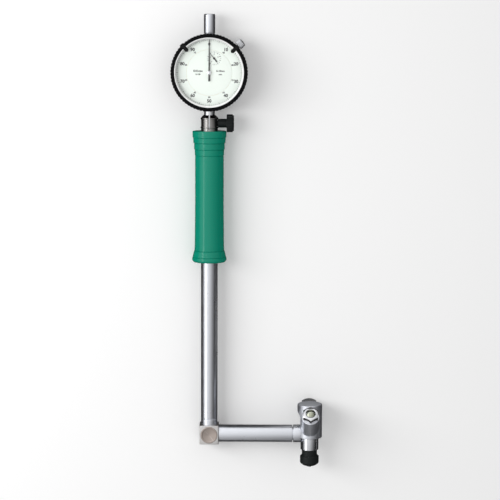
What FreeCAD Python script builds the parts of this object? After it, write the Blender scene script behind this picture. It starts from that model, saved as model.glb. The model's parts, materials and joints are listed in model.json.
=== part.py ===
import FreeCAD, Part
import math
import os
import re
import Sketcher

# Right-angle dial bore gauge.  Working frame: X along the short arm towards the measuring head, Y up the
# long tube towards the dial indicator, Z out of the dial face.  The origin of that frame is where the axes
# of the tube and of the arm cross.  Every sub-part is placed in it, and `lie` then lays the gauge on its
# back on a flat surface, the way it comes to rest.  Millimetres and degrees.

V = FreeCAD.Vector

DIMS = {
    # resting pose: the gauge lies on the rear lock nut, the grip and the indicator's back
    "rest_pitch": 0.06,
    "rest_roll": -8.33,
    "rest_left": 27.51,
    "rest_down": 145.0,
    "rest_rise": 12.826,
    # running clearance, per side, between parts that move on each other
    "gap": 0.05,
    # long tube, its push rod and bushes
    "tube_d": 12.5,
    "tube_bore": 8.4,
    "tube_foot": 11.8,
    "grip_foot": 131.7,
    "grip_top": 229.9,
    "grip_d": 21.3,
    "groove_deep": 0.35,
    "groove_wide": 0.5,
    "rod_d": 4.0,
    "rod_tip_d": 2.0,
    "rod_tip_len": 3.0,
    "rod_top": 225.9,
    "rod_way_d": 4.6,
    "bush_len": 6.0,
    # elbow
    "elbow_size": 14.5,
    "chamber_d": 12.8,
    "cover_thick": 2.0,
    "cover_proud": 0.25,
    "spigot_len": 6.0,
    # bell cranks, the same in elbow and head
    "crank_arm": 3.4,
    "crank_hub_d": 3.0,
    "crank_nose_d": 2.4,
    "crank_bar": 1.4,
    "crank_thick": 3.0,
    "crank_pin_d": 1.6,
    # short arm
    "arm_d": 13.0,
    "arm_bore": 8.5,
    "arm_end": 63.2,
    "collar_end": 69.6,
    # measuring head
    "head_x": 76.5,
    "hub_d": 18.8,
    "hub_top": 23.1,
    "hub_foot": -2.6,
    "shoulder_low": 9.7,
    "shoulder_high": 17.7,
    "shoulder_x": 66.9,
    "shoulder_bend": 11.6,
    "boss_d": 13.6,
    "boss_seat": 23.4,
    "boss_angle": 45.0,
    "nut_flats": 11.0,
    "nut_thick": 5.0,
    "pin_d": 7.0,
    "pin_end": 29.8,
    "pin_foot": 12.0,
    "sleeve_d": 13.6,
    "sleeve_foot": -12.2,
    "sleeve_spigot_d": 12.4,
    "sleeve_spigot_top": 3.0,
    "crank_bore_d": 11.2,
    "crank_bore_top": 4.0,
    "plunger_d": 11.6,
    "plunger_foot": -16.5,
    "plunger_head": -8.0,
    "plunger_stem_d": 5.2,
    "plunger_stem_top": -6.2,
    "knob_d": 14.3,
    "knob_foot": -23.0,
    "knob_end": -25.2,
    "tip_d": 3.2,
    "tip_end": -26.0,
    "key_d": 2.0,
    "key_at": -10.6,
    "seat_low": -6.4,
    "seat_high": -5.6,
    "travel": 1.2,
    # clamp collar and its thumb screw
    "stem_d": 8.0,
    "collar_foot": 222.0,
    "collar_step": 231.0,
    "collar_cone": 239.4,
    "collar_top": 241.6,
    "lip_d": 13.2,
    "slit": 1.0,
    "screw_at": 235.6,
    "screw_d": 4.0,
    "screw_neck_d": 6.6,
    "screw_neck_end": 12.8,
    "screw_knob_d": 13.3,
    "screw_knob_end": 18.2,
    # dial indicator: axis height, case, lid and spindle
    "dial_y": 273.0,
    "case_d": 53.0,
    "case_bore": 47.2,
    "case_back": -7.5,
    "case_front": 7.6,
    "lid_back": -9.5,
    "lid_d": 52.4,
    "lid_seat_d": 49.0,
    "plate_d": 48.8,
    "stem_foot": 232.0,
    "stem_top": 250.5,
    "spindle_d": 4.8,
    "spindle_foot": 229.0,
    "spindle_top": 303.0,
    "bush_d": 6.8,
    "cap_d": 8.4,
    "cap_foot": 299.0,
    "cap_top": 316.0,
    "cap_neck_d": 7.6,
    "cap_neck_top": 302.0,
    # contact point, guide pin and its rail, return spring and its stud
    "point_d": 4.0,
    "point_rise": 1.3,
    "guide_pin_d": 1.5,
    "guide_rise": 12.0,
    "rail_x": 6.0,
    "rail_wide": 3.0,
    "rail_long": 10.0,
    "rail_front": 2.0,
    "return_x": 12.5,
    "return_d": 2.6,
    "stud_d": 1.4,
    "stud_top": 3.0,
    # plates of the movement, back and front face of each
    "main_plate_back": -5.8,
    "main_plate_front": -5.0,
    "bridge_back": 2.7,
    "bridge_front": 3.5,
    "front_plate_back": 6.4,
    "front_plate_front": 7.4,
    "pillar_d": 3.0,
    "pillar_x": 17.0,
    "pillar_high": 8.0,
    "pillar_low": -10.0,
    # gear train
    "gear_module": 0.2,
    "wheel_teeth": 100,
    "pinion_teeth": 10,
    "rack_pitch": 0.625,
    "rack_teeth": 16,
    "rack_line": 1.96,
    "wheel_x": 3.55,
    "wheel_y": 10.41,
    "wheel_back": 4.3,
    "wheel_thick": 0.6,
    "arbor_d": 1.0,
    # dial, pointer and bezel
    "dial_plate_d": 33.2,
    "dial_face": 8.4,
    "dial_ring_d": 50.6,
    "dial_ring_back": 7.7,
    "view_d": 48.4,
    "pointer_back": 9.4,
    "pointer_tip": 24.0,
    "pointer_tail": 6.3,
    "pointer_thick": 0.3,
    "pointer_hub_d": 3.0,
    "pointer_hub_high": 0.7,
    "hand_back": 8.8,
    "hand_thick": 0.2,
    "hand_hub_d": 1.6,
    "hand_tip": 4.6,
    "hand_tail": 3.2,
    "hand_turn": 40.0,
    "bezel_d": 57.0,
    "bezel_back": 4.6,
    "bezel_front": 13.2,
    "bezel_notches": 72,
    "notch_deep": 0.45,
    "notch_wide": 1.2,
    "crystal_back": 11.0,
    "crystal_front": 12.2,
    "crystal_d": 51.0,
    "ring_d": 52.2,
    "marker_tip": 21.7,
    "marker_wide": 2.8,
    "marker_thick": 0.6,
    "marker_leg": 0.5,
    "marker_drop": 2.6,
    "marker_left_turn": 45.0,
    "marker_right_turn": -47.6,
    "lock_turn": -46.8,
    "lock_z": 2.0,
    "lock_d": 2.5,
    "shoe_wide": 5.0,
    "lock_knob_d": 6.8,
    "lock_knob_start": 28.8,
    "lock_knob_end": 33.7,
}

FUNCTIONS = ("sin", "cos", "tan", "sqrt", "abs")

doc = FreeCAD.newDocument("dial_bore_gauge")
sheet = doc.addObject("Spreadsheet::Sheet", "dims")
for row, (name, value) in enumerate(DIMS.items(), start=1):
    sheet.set(f"A{row}", name)
    sheet.set(f"B{row}", str(value))
    sheet.setAlias(f"B{row}", name)
doc.recompute()

nodes = {}


# ---------------------------------------------------------------- helpers


def bound(text):
    """A formula of plain dimension names, written the way an expression wants it."""

    def prefix(match):
        return match[0] if match[0] in FUNCTIONS else "dims." + match[0]

    return re.sub(r"[a-z][a-z_]*", prefix, text)


def number(text):
    """The value of a formula now, in millimetres or degrees."""
    value = sheet.evalExpression(bound(text))
    return float(getattr(value, "Value", value))


def where(x="0", y="0", z="0", along="Z", turn="0", lean="0"):
    """A placement: the piece's own Z goes along X, Y or Z, after a turn about Z of the working frame."""
    axes = {
        "X": FreeCAD.Rotation(V(0, 1, 0), 90),
        "Y": FreeCAD.Rotation(V(1, 0, 0), -90),
        "Z": FreeCAD.Rotation(),
        "-Y": FreeCAD.Rotation(V(1, 0, 0), 90),
        "-Z": FreeCAD.Rotation(V(1, 1, 0), 180),
    }
    spin = FreeCAD.Rotation(V(0, 0, 1), number(turn))
    tilt = FreeCAD.Rotation(V(1, 0, 0), number(lean))
    rotation = spin.multiply(tilt).multiply(axes[along])
    return FreeCAD.Placement(V(number(x), number(y), number(z)), rotation)


def lying():
    """How the working frame lies in the part's own frame, which has Z = 0 at the surface."""
    roll = FreeCAD.Rotation(V(0, 1, 0), number("rest_roll"))
    pitch = FreeCAD.Rotation(V(1, 0, 0), number("rest_pitch"))
    shift = V(number("-rest_left"), number("-rest_down"), number("rest_rise"))
    return FreeCAD.Placement(shift, roll.multiply(pitch))


def node(name, item):
    """Name a finished sub-part and lay it down with the rest of the gauge."""
    item.Label = name
    item.Placement = lying().multiply(item.Placement)
    nodes[name] = item
    return item


def plane_of(body, role):
    return [feature for feature in body.Origin.OriginFeatures if feature.Role == role][0]


def dome(radius, rise):
    """The radius of a spherical cap of the given rim radius and height, whose centre is on the axis."""
    return f"(({radius})^2 + ({rise})^2) / (2 * ({rise}))"


def draw(sketch, outline):
    """Close an outline of (across, up) formulas.  A third formula makes the run that leaves the point an
    arc of that radius, bulging outwards, and a fourth item, "hollow", makes it bulge inwards."""
    count = len(outline)
    ends = [V(number(point[0]), number(point[1]), 0) for point in outline]
    starts = []
    stops = []
    for index, point in enumerate(outline):
        start = ends[index]
        stop = ends[(index + 1) % count]
        if len(point) == 2:
            sketch.addGeometry(Part.LineSegment(start, stop), False)
            starts.append(1)
            stops.append(2)
            continue
        radius = number(point[2])
        hollow = len(point) == 4
        chord = stop - start
        rise = math.sqrt(max(radius**2 - (chord.Length / 2) ** 2, 0))
        left = V(-chord.y, chord.x, 0).normalize()
        centre = (start + stop) * 0.5 + left * (-rise if hollow else rise)
        first, last = (stop, start) if hollow else (start, stop)
        low = math.atan2(first.y - centre.y, first.x - centre.x)
        high = math.atan2(last.y - centre.y, last.x - centre.x)
        circle = Part.Circle(centre, V(0, 0, 1), radius)
        sketch.addGeometry(Part.ArcOfCircle(circle, low, high), False)
        starts.append(2 if hollow else 1)
        stops.append(1 if hollow else 2)
    for index, point in enumerate(outline):
        after = (index + 1) % count
        sketch.addConstraint(Sketcher.Constraint("Coincident", index, stops[index], after, starts[after]))
    for index, point in enumerate(outline):
        at = ends[index]
        for kind, formula, value in (("DistanceX", point[0], at.x), ("DistanceY", point[1], at.y)):
            rule = sketch.addConstraint(Sketcher.Constraint(kind, -1, 1, index, starts[index], value))
            sketch.setExpression(f"Constraints[{rule}]", bound(formula))
        if len(point) > 2:
            rule = sketch.addConstraint(Sketcher.Constraint("Radius", index, number(point[2])))
            sketch.setExpression(f"Constraints[{rule}]", bound(point[2]))


def sketched(name, outline, role):
    body = doc.addObject("PartDesign::Body", name)
    sketch = body.newObject("Sketcher::SketchObject", name + "_outline")
    sketch.AttachmentSupport = (plane_of(body, role), [""])
    sketch.MapMode = "FlatFace"
    draw(sketch, outline)
    return body, sketch


def turned(name, outline, place):
    """A lathe piece: the outline gives (radius, distance along the axis)."""
    body, sketch = sketched(name, outline, "XZ_Plane")
    lathe = body.newObject("PartDesign::Revolution", name + "_turned")
    lathe.Profile = sketch
    lathe.ReferenceAxis = (sketch, ["V_Axis"])
    lathe.Angle = 360
    body.Placement = place
    doc.recompute()
    return body


def padded(name, outline, height, place):
    """A plate of the given outline, standing on its own XY plane."""
    body, sketch = sketched(name, outline, "XY_Plane")
    pad = body.newObject("PartDesign::Pad", name + "_pad")
    pad.Profile = sketch
    pad.setExpression("Length", bound(height))
    body.Placement = place
    doc.recompute()
    return body


def rod(name, diameter, length, place):
    item = doc.addObject("Part::Cylinder", name)
    item.setExpression("Radius", bound(f"({diameter}) / 2"))
    item.setExpression("Height", bound(length))
    item.Placement = place
    return item


def block(name, size, place):
    item = doc.addObject("Part::Box", name)
    for side, formula in zip(("Length", "Width", "Height"), size):
        item.setExpression(side, bound(formula))
    item.Placement = place
    return item


def ring(name, outer, inner, low, high, place):
    outline = [
        (f"({inner}) / 2", low),
        (f"({outer}) / 2", low),
        (f"({outer}) / 2", high),
        (f"({inner}) / 2", high),
    ]
    return turned(name, outline, place)


def fused(name, *items):
    item = doc.addObject("Part::MultiFuse", name)
    item.Shapes = list(items)
    doc.recompute()
    return item


def cut(name, base, *tools):
    item = doc.addObject("Part::Cut", name)
    item.Base = base
    item.Tool = tools[0] if len(tools) == 1 else fused(name + "_tools", *tools)
    doc.recompute()
    return item


def shape(name, solid, place):
    item = doc.addObject("Part::Feature", name)
    item.Shape = solid
    item.Placement = place
    return item


def plate_of(points, thickness):
    """A plate cut to a closed polygon of (x, y) points."""
    corners = [V(x, y, 0) for x, y in points]
    face = Part.Face(Part.makePolygon(corners + corners[:1]))
    return face.extrude(V(0, 0, thickness))


# ---------------------------------------------------------------- long tube, grip and clamp


def make_tube():
    up = where(along="Y")
    node("main_tube", ring("main_tube", "tube_d", "tube_bore", "tube_foot", "grip_top", up))
    low = "tube_foot + spigot_len + 2"
    node("lower_bush", ring("lower_bush", "tube_bore", "rod_d + 2 * gap", low, low + " + bush_len", up))
    high = "collar_foot - bush_len - 4"
    node("upper_bush", ring("upper_bush", "tube_bore", "rod_d + 2 * gap", high, high + " + bush_len", up))
    push_rod("main_rod", "crank_arm + crank_nose_d / 2 + gap", "rod_top", up, False)


def push_rod(name, low, high, place, both_tips):
    """A plain rod whose ends are turned down to the size of the crank's nose."""
    outline = [("0", low), ("rod_tip_d / 2", low), ("rod_tip_d / 2", f"{low} + rod_tip_len")]
    outline.append(("rod_d / 2", f"{low} + rod_tip_len"))
    if both_tips:
        outline.append(("rod_d / 2", f"{high} - rod_tip_len"))
        outline.append(("rod_tip_d / 2", f"{high} - rod_tip_len"))
        outline.append(("rod_tip_d / 2", high))
    else:
        outline.append(("rod_d / 2", high))
    outline.append(("0", high))
    node(name, turned(name, outline, place))


def make_grip():
    """Moulded plastic handle: a plain barrel between stepped rings, and a bell mouth at the foot."""
    # each ring: height of its upper groove, radius at its foot and radius at its head
    rings = [
        ("grip_foot + 3.7", "grip_d / 2 + 2.3", "grip_d / 2 + 2.15"),
        ("grip_foot + 8.5", "grip_d / 2 + 1.8", "grip_d / 2 + 0.85"),
        ("grip_top - 18.5", "grip_d / 2 + 0.5", "grip_d / 2"),
        ("grip_top - 13.9", "grip_d / 2 + 0.15", "grip_d / 2 + 0.35"),
        ("grip_top - 9.2", "grip_d / 2 + 0.75", "grip_d / 2 + 0.75"),
        ("grip_top - 5.1", "grip_d / 2 + 1.25", "grip_d / 2 + 1.5"),
        ("grip_top", "grip_d / 2 + 1.85", "grip_d / 2 + 2.1"),
    ]
    outline = [("tube_d / 2", "grip_foot"), ("grip_d / 2 + 1.05", "grip_foot", "1.4")]
    foot = "grip_foot + 1.45"
    for index, (head, low_radius, high_radius) in enumerate(rings):
        last = index == len(rings) - 1
        outline.append((low_radius, foot))
        if index == 2:
            outline.append(("grip_d / 2 + 0.3", "grip_foot + 13"))
            outline.append(("grip_d / 2", "grip_foot + 44"))
        if last:
            outline.append((high_radius, f"{head} - 0.9", "0.9"))
            outline.append((f"{high_radius} - 0.9", head))
            break
        outline.append((high_radius, f"{head} - groove_wide / 2"))
        floor = min(high_radius, rings[index + 1][1], key=number)
        outline.append((f"{floor} - groove_deep", head))
        foot = f"{head} + groove_wide / 2"
    outline.append(("tube_d / 2", "grip_top"))
    node("grip", turned("grip", outline, where(along="Y")))


def make_clamp():
    outline = [
        ("spindle_d / 2 + 0.3", "collar_foot"),
        ("tube_bore / 2", "collar_foot"),
        ("tube_bore / 2", "grip_top"),
        ("tube_d / 2", "grip_top"),
        ("tube_d / 2", "grip_top + 2"),
        ("lip_d / 2", "grip_top + 2"),
        ("lip_d / 2", "grip_top + 2.9"),
        ("tube_d / 2", "grip_top + 2.9"),
        ("tube_d / 2", "collar_cone - 0.8"),
        ("lip_d / 2", "collar_cone - 0.8"),
        ("lip_d / 2", "collar_cone"),
        ("stem_d / 2 + 0.7", "collar_top"),
        ("stem_d / 2 + gap", "collar_top"),
        ("stem_d / 2 + gap", "collar_step"),
        ("spindle_d / 2 + 0.3", "collar_step"),
    ]
    collar = turned("collar_turned", outline, where(along="Y"))
    slit_size = ("slit", "collar_top - collar_step + 0.5", "lip_d / 2")
    slit = block("collar_slit", slit_size, where("-slit / 2", "collar_step", "0"))
    hole = rod("collar_hole", "screw_d + 2 * gap", "lip_d / 2", where("1", "screw_at", along="X"))
    spot = rod("collar_spot", "screw_neck_d + 4 * gap", "3", where("tube_d / 2", "screw_at", along="X"))
    node("clamp_collar", cut("clamp_collar", collar, slit, hole, spot))
    screw = [
        ("0", "stem_d / 2 + gap"),
        ("screw_d / 2 - 0.4", "stem_d / 2 + gap"),
        ("screw_d / 2", "stem_d / 2 + gap + 0.4"),
        ("screw_d / 2", "tube_d / 2 + gap"),
        ("screw_neck_d / 2", "tube_d / 2 + gap"),
        ("screw_neck_d / 2", "screw_neck_end"),
        ("screw_knob_d / 2 - 0.5", "screw_neck_end"),
        ("screw_knob_d / 2", "screw_neck_end + 0.5"),
        ("screw_knob_d / 2", "screw_knob_end - 0.9"),
        ("screw_knob_d / 2 - 0.7", "screw_knob_end - 0.9"),
        ("screw_knob_d / 2 - 1", "screw_knob_end"),
        ("0", "screw_knob_end"),
    ]
    node("clamp_screw", turned("clamp_screw", screw, where("0", "screw_at", along="X")))


# ---------------------------------------------------------------- elbow and arm


def crank(name, place):
    """A bell crank in the XY plane: pivot at the origin, one nose towards -X and one towards -Y."""
    half = "-crank_thick / 2"
    hub = rod(name + "_hub", "crank_hub_d", "crank_thick", where(z=half))
    nose_a = rod(name + "_nose_a", "crank_nose_d", "crank_thick", where("-crank_arm", z=half))
    nose_b = rod(name + "_nose_b", "crank_nose_d", "crank_thick", where("0", "-crank_arm", z=half))
    lying_bar = ("crank_arm", "crank_bar", "crank_thick")
    bar_a = block(name + "_bar_a", lying_bar, where("-crank_arm", "-crank_bar / 2", half))
    standing_bar = ("crank_bar", "crank_arm", "crank_thick")
    bar_b = block(name + "_bar_b", standing_bar, where("-crank_bar / 2", "-crank_arm", half))
    blank = fused(name + "_blank", hub, nose_a, nose_b, bar_a, bar_b)
    bore = rod(name + "_bore", "crank_pin_d + 2 * gap", "crank_thick + 2", where(z=f"{half} - 1"))
    item = cut(name, blank, bore)
    item.Placement = place
    return item


def make_elbow():
    cube = block("elbow_cube", ["elbow_size"] * 3, where(*["-elbow_size / 2"] * 3))
    doc.recompute()
    bevelled = doc.addObject("Part::Chamfer", "elbow_bevelled")
    bevelled.Base = cube
    bevelled.Edges = [(edge + 1, 0.6, 0.6) for edge in range(12)]
    neck = rod("elbow_neck", "tube_d", "tube_foot", where(along="Y"))
    tube_spigot = rod("elbow_tube_spigot", "tube_bore", "tube_foot + spigot_len", where(along="Y"))
    arm_spigot = rod("elbow_arm_spigot", "arm_bore", "elbow_size / 2 + spigot_len", where(along="X"))
    blank = fused("elbow_blank", bevelled, neck, tube_spigot, arm_spigot)
    chamber = rod("elbow_chamber", "chamber_d", "elbow_size + 2", where(z="-elbow_size / 2 - 1"))
    way_up = rod("elbow_way_up", "rod_way_d", "tube_foot + spigot_len + 1", where(along="Y"))
    way_out = rod("elbow_way_out", "rod_way_d", "elbow_size / 2 + spigot_len + 1", where(along="X"))
    node("elbow_block", cut("elbow_block", blank, chamber, way_up, way_out))
    elbow_cover("elbow_cover_front", "Z")
    elbow_cover("elbow_cover_back", "-Z")
    pin_len = "elbow_size - 2 * cover_thick + 2"
    pin_place = where("crank_arm", "crank_arm", f"-({pin_len}) / 2")
    node("elbow_pin", rod("elbow_pin", "crank_pin_d", pin_len, pin_place))
    node("elbow_crank", crank("elbow_crank", where("crank_arm", "crank_arm")))


def elbow_cover(name, side):
    """A turned plug that closes the crank chamber and holds one end of the crank's pin."""
    inside = "elbow_size / 2 - cover_thick"
    outside = "elbow_size / 2 + cover_proud"
    outline = [
        ("0", inside),
        ("chamber_d / 2", inside),
        ("chamber_d / 2", outside + " - 0.3"),
        ("chamber_d / 2 - 0.3", outside),
        ("chamber_d / 2 - 1.1", outside),
        ("chamber_d / 2 - 1.4", outside + " - 0.35"),
        ("0", outside + " - 0.1"),
    ]
    plug = turned(name + "_plug", outline, where())
    hole = rod(name + "_hole", "crank_pin_d", "2", where("crank_arm", "crank_arm", inside + " - 1"))
    item = cut(name, plug, hole)
    item.Placement = where(along=side)
    node(name, item)


def make_arm():
    along = where(along="X")
    node("arm_tube", ring("arm_tube", "arm_d", "arm_bore", "elbow_size / 2", "arm_end", along))
    low = "elbow_size / 2 + spigot_len + 2"
    bore = "rod_d + 2 * gap"
    node("arm_bush_inner", ring("arm_bush_inner", "arm_bore", bore, low, low + " + bush_len", along))
    high = "arm_end - spigot_len - bush_len - 2"
    node("arm_bush_outer", ring("arm_bush_outer", "arm_bore", bore, high, high + " + bush_len", along))
    collar = [
        ("arm_bore / 2", "arm_end"),
        ("arm_d / 2 - 0.5", "arm_end"),
        ("arm_d / 2 - 0.5", "arm_end + 0.8"),
        ("arm_d / 2 + 0.2", "arm_end + 0.8"),
        ("arm_d / 2 + 0.2", "collar_end"),
        ("arm_bore / 2", "collar_end"),
    ]
    node("arm_collar", turned("arm_collar", collar, along))
    low_end = "crank_arm + crank_nose_d / 2 + gap"
    high_end = "head_x - crank_arm - crank_nose_d / 2 - gap"
    push_rod("arm_rod", low_end, high_end, along, True)


# ---------------------------------------------------------------- measuring head


def make_head():
    stand = where("head_x", along="Y")
    hub_outline = [
        ("0", "hub_foot"),
        ("hub_d / 2 - 0.6", "hub_foot"),
        ("hub_d / 2", "hub_foot + 0.6"),
        ("hub_d / 2", "hub_top - 0.8"),
        ("hub_d / 2 - 0.8", "hub_top"),
        ("0", "hub_top"),
    ]
    hub = turned("head_hub", hub_outline, stand)
    relief_outline = [
        ("shoulder_x - 8", "hub_foot - 2"),
        ("collar_end", "hub_foot - 2"),
        ("collar_end", "shoulder_low", "shoulder_bend", "hollow"),
        ("shoulder_x", "shoulder_high"),
        ("shoulder_x - 8", "shoulder_high"),
    ]
    relief = padded("head_relief", relief_outline, "hub_d * 2", where(z="-hub_d"))
    bosses = []
    holes = []
    for side, lean in (("front", "-boss_angle"), ("rear", "-180 + boss_angle")):
        slant = where("head_x", lean=lean)
        boss_outline = [
            ("0", "0"),
            ("boss_d / 2", "0"),
            ("boss_d / 2", "boss_seat - 0.5"),
            ("boss_d / 2 - 0.5", "boss_seat"),
            ("0", "boss_seat"),
        ]
        bosses.append(turned(f"head_boss_{side}", boss_outline, slant))
        hole = rod(f"head_hole_{side}", "pin_d", "boss_seat", slant)
        hole.Placement = slant.multiply(FreeCAD.Placement(V(0, 0, number("pin_foot")), FreeCAD.Rotation()))
        holes.append(hole)
        make_nut(side, slant)
    below = rod("head_below", "boss_d * 2", "boss_d", where("head_x", "hub_foot - boss_d", along="Y"))
    waisted = cut("head_waisted", fused("head_bossed", hub, *bosses), relief, below)
    spigot_foot = "arm_end - spigot_len"
    spigot_reach = "collar_end - arm_end + spigot_len"
    spigot = rod("head_spigot", "arm_bore", spigot_reach, where(spigot_foot, along="X"))
    blank = fused("head_blank", waisted, spigot)
    foot = where("head_x", "hub_foot - 1", along="Y")
    socket = rod("head_socket", "sleeve_spigot_d", "sleeve_spigot_top - hub_foot + 1", foot)
    chamber = rod("head_chamber", "crank_bore_d", "crank_bore_top - hub_foot + 1", foot)
    way_len = "head_x - arm_end + spigot_len + 1"
    way = rod("head_way", "rod_way_d", way_len, where(spigot_foot + " - 1", along="X"))
    node("head_body", cut("head_body", blank, socket, chamber, way, *holes))


def make_nut(side, slant):
    """The lock nut and the domed centring pin that it holds, on one of the slanting bosses."""
    prism = doc.addObject("Part::Prism", f"nut_prism_{side}")
    prism.Polygon = 6
    prism.setExpression("Circumradius", bound("nut_flats / 2 / cos(30)"))
    prism.setExpression("Height", bound("nut_thick"))
    seat = FreeCAD.Placement(V(0, 0, number("boss_seat")), FreeCAD.Rotation(V(0, 0, 1), 90))
    prism.Placement = slant.multiply(seat)
    corner = "nut_flats / 2 / cos(30)"
    outline = [
        ("pin_d / 2", "boss_seat"),
        (corner + " + 0.2", "boss_seat"),
        (corner + " + 0.2", "boss_seat + nut_thick - 0.7"),
        ("nut_flats / 2 - 0.3", "boss_seat + nut_thick"),
        ("pin_d / 2", "boss_seat + nut_thick"),
    ]
    envelope = turned(f"nut_envelope_{side}", outline, slant)
    nut = doc.addObject("Part::Common", f"nut_{side}")
    nut.Base = prism
    nut.Tool = envelope
    doc.recompute()
    node(f"nut_{side}", nut)
    pin = [
        ("0", "pin_foot"),
        ("pin_d / 2", "pin_foot"),
        ("pin_d / 2", "boss_seat + nut_thick", dome("pin_d / 2", "pin_end - boss_seat - nut_thick")),
        ("0", "pin_end"),
    ]
    node(f"centring_pin_{side}", turned(f"centring_pin_{side}", pin, slant))


def make_sleeve():
    stand = where("head_x", along="Y")
    bore = "plunger_d / 2 + gap"
    outline = [
        (bore, "sleeve_foot"),
        ("sleeve_d / 2 - 0.6", "sleeve_foot"),
        ("sleeve_d / 2", "sleeve_foot + 0.6"),
        ("sleeve_d / 2", "hub_foot"),
        ("sleeve_spigot_d / 2", "hub_foot"),
        ("sleeve_spigot_d / 2", "sleeve_spigot_top"),
        ("crank_bore_d / 2", "sleeve_spigot_top"),
        ("crank_bore_d / 2", "seat_high"),
        (bore, "seat_high"),
    ]
    blank = turned("sleeve_turned", outline, stand)
    notch_size = ("sleeve_d / 2 - crank_arm", "sleeve_spigot_top - hub_foot + 1", "rod_way_d")
    notch_place = where("head_x - sleeve_d / 2", "-rod_way_d / 2", "-rod_way_d / 2")
    notch = block("sleeve_notch", notch_size, notch_place)
    pin_len = "sleeve_d - 3"
    pin_place = where("head_x - crank_arm", "-crank_arm", f"-({pin_len}) / 2")
    cross = rod("sleeve_cross", "crank_pin_d", pin_len, pin_place)
    key_place = where("head_x", "key_at", "-sleeve_d / 2 - 1")
    key_hole = rod("sleeve_key_hole", "key_d", "sleeve_d / 2", key_place)
    node("sleeve", cut("sleeve", blank, notch, cross, key_hole))
    node("head_pin", rod("head_pin", "crank_pin_d", pin_len, pin_place))
    key_end = where("head_x", "key_at", "-sleeve_d / 2 + 0.2")
    node("plunger_key", rod("plunger_key", "key_d", "1.6", key_end))
    washer = ("plunger_d + 2 * gap", "plunger_stem_d + 0.8", "seat_low", "seat_high")
    node("spring_seat", ring("spring_seat", *washer, stand))
    node("head_crank", crank("head_crank", where("head_x - crank_arm", "-crank_arm", turn="180")))


def make_plunger():
    """The moving contact: a knob on a plunger that slides in the sleeve against a spring."""
    stand = where("head_x", along="Y")
    outline = [
        ("0", "knob_end"),
        ("tip_d / 2", "knob_end", "knob_d / 2 + 3"),
        ("knob_d / 2 - 0.9", "knob_foot - 0.6", "1"),
        ("knob_d / 2", "knob_foot + 0.4"),
        ("knob_d / 2", "plunger_foot - 1"),
        ("knob_d / 2 - 1", "plunger_foot"),
        ("plunger_d / 2", "plunger_foot"),
        ("plunger_d / 2", "plunger_head"),
        ("plunger_d / 2 - 0.9", "plunger_head"),
        ("plunger_d / 2 - 0.9", "plunger_foot + 2.5"),
        ("plunger_stem_d / 2", "plunger_foot + 2.5"),
        ("plunger_stem_d / 2", "plunger_stem_top"),
        ("rod_tip_d / 2", "plunger_stem_top"),
        ("rod_tip_d / 2", "-crank_arm - crank_nose_d / 2 - gap"),
        ("0", "-crank_arm - crank_nose_d / 2 - gap"),
    ]
    blank = turned("plunger_turned", outline, stand)
    slot_len = "key_d + travel + 2 * gap"
    slot_low = "key_at - key_d / 2 - travel - gap"
    slot_size = ("key_d + 2 * gap", slot_len, "2")
    slot_place = where("head_x - key_d / 2 - gap", slot_low, "-plunger_d / 2 - 0.5")
    slot = block("plunger_slot", slot_size, slot_place)
    seat = rod("plunger_tip_seat", "tip_d", "2", where("head_x", "knob_end - 1", along="Y"))
    node("plunger", cut("plunger", blank, slot, seat))
    tip = [
        ("0", "tip_end"),
        ("tip_d / 2 - 0.5", "tip_end + 0.15", "0.6"),
        ("tip_d / 2", "tip_end + 0.7"),
        ("tip_d / 2", "knob_end + 1"),
        ("0", "knob_end + 1"),
    ]
    node("contact_tip", turned("contact_tip", tip, stand))
    low = number("plunger_foot + 2.5")
    high = number("seat_low")
    spring = coil((number("plunger_stem_d") + number("plunger_d") - 1.8) / 4, high - low, 5, 0.8)
    node("plunger_spring", shape("plunger_spring", spring, where("head_x", "plunger_foot + 2.5", along="Y")))


def coil(radius, length, turns, wire):
    """An open coil spring of square wire along its own Z, as long over its ends as asked."""
    rise = length - wire
    helix = Part.makeHelix(rise / turns, rise, radius)
    helix.translate(V(0, 0, wire / 2))
    inside = radius - wire / 2
    outside = radius + wire / 2
    corners = [V(inside, 0, 0), V(outside, 0, 0), V(outside, 0, wire), V(inside, 0, wire)]
    section = Part.makePolygon(corners + corners[:1])
    return Part.Wire(helix).makePipeShell([section], True, True)


# ---------------------------------------------------------------- dial indicator


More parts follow.
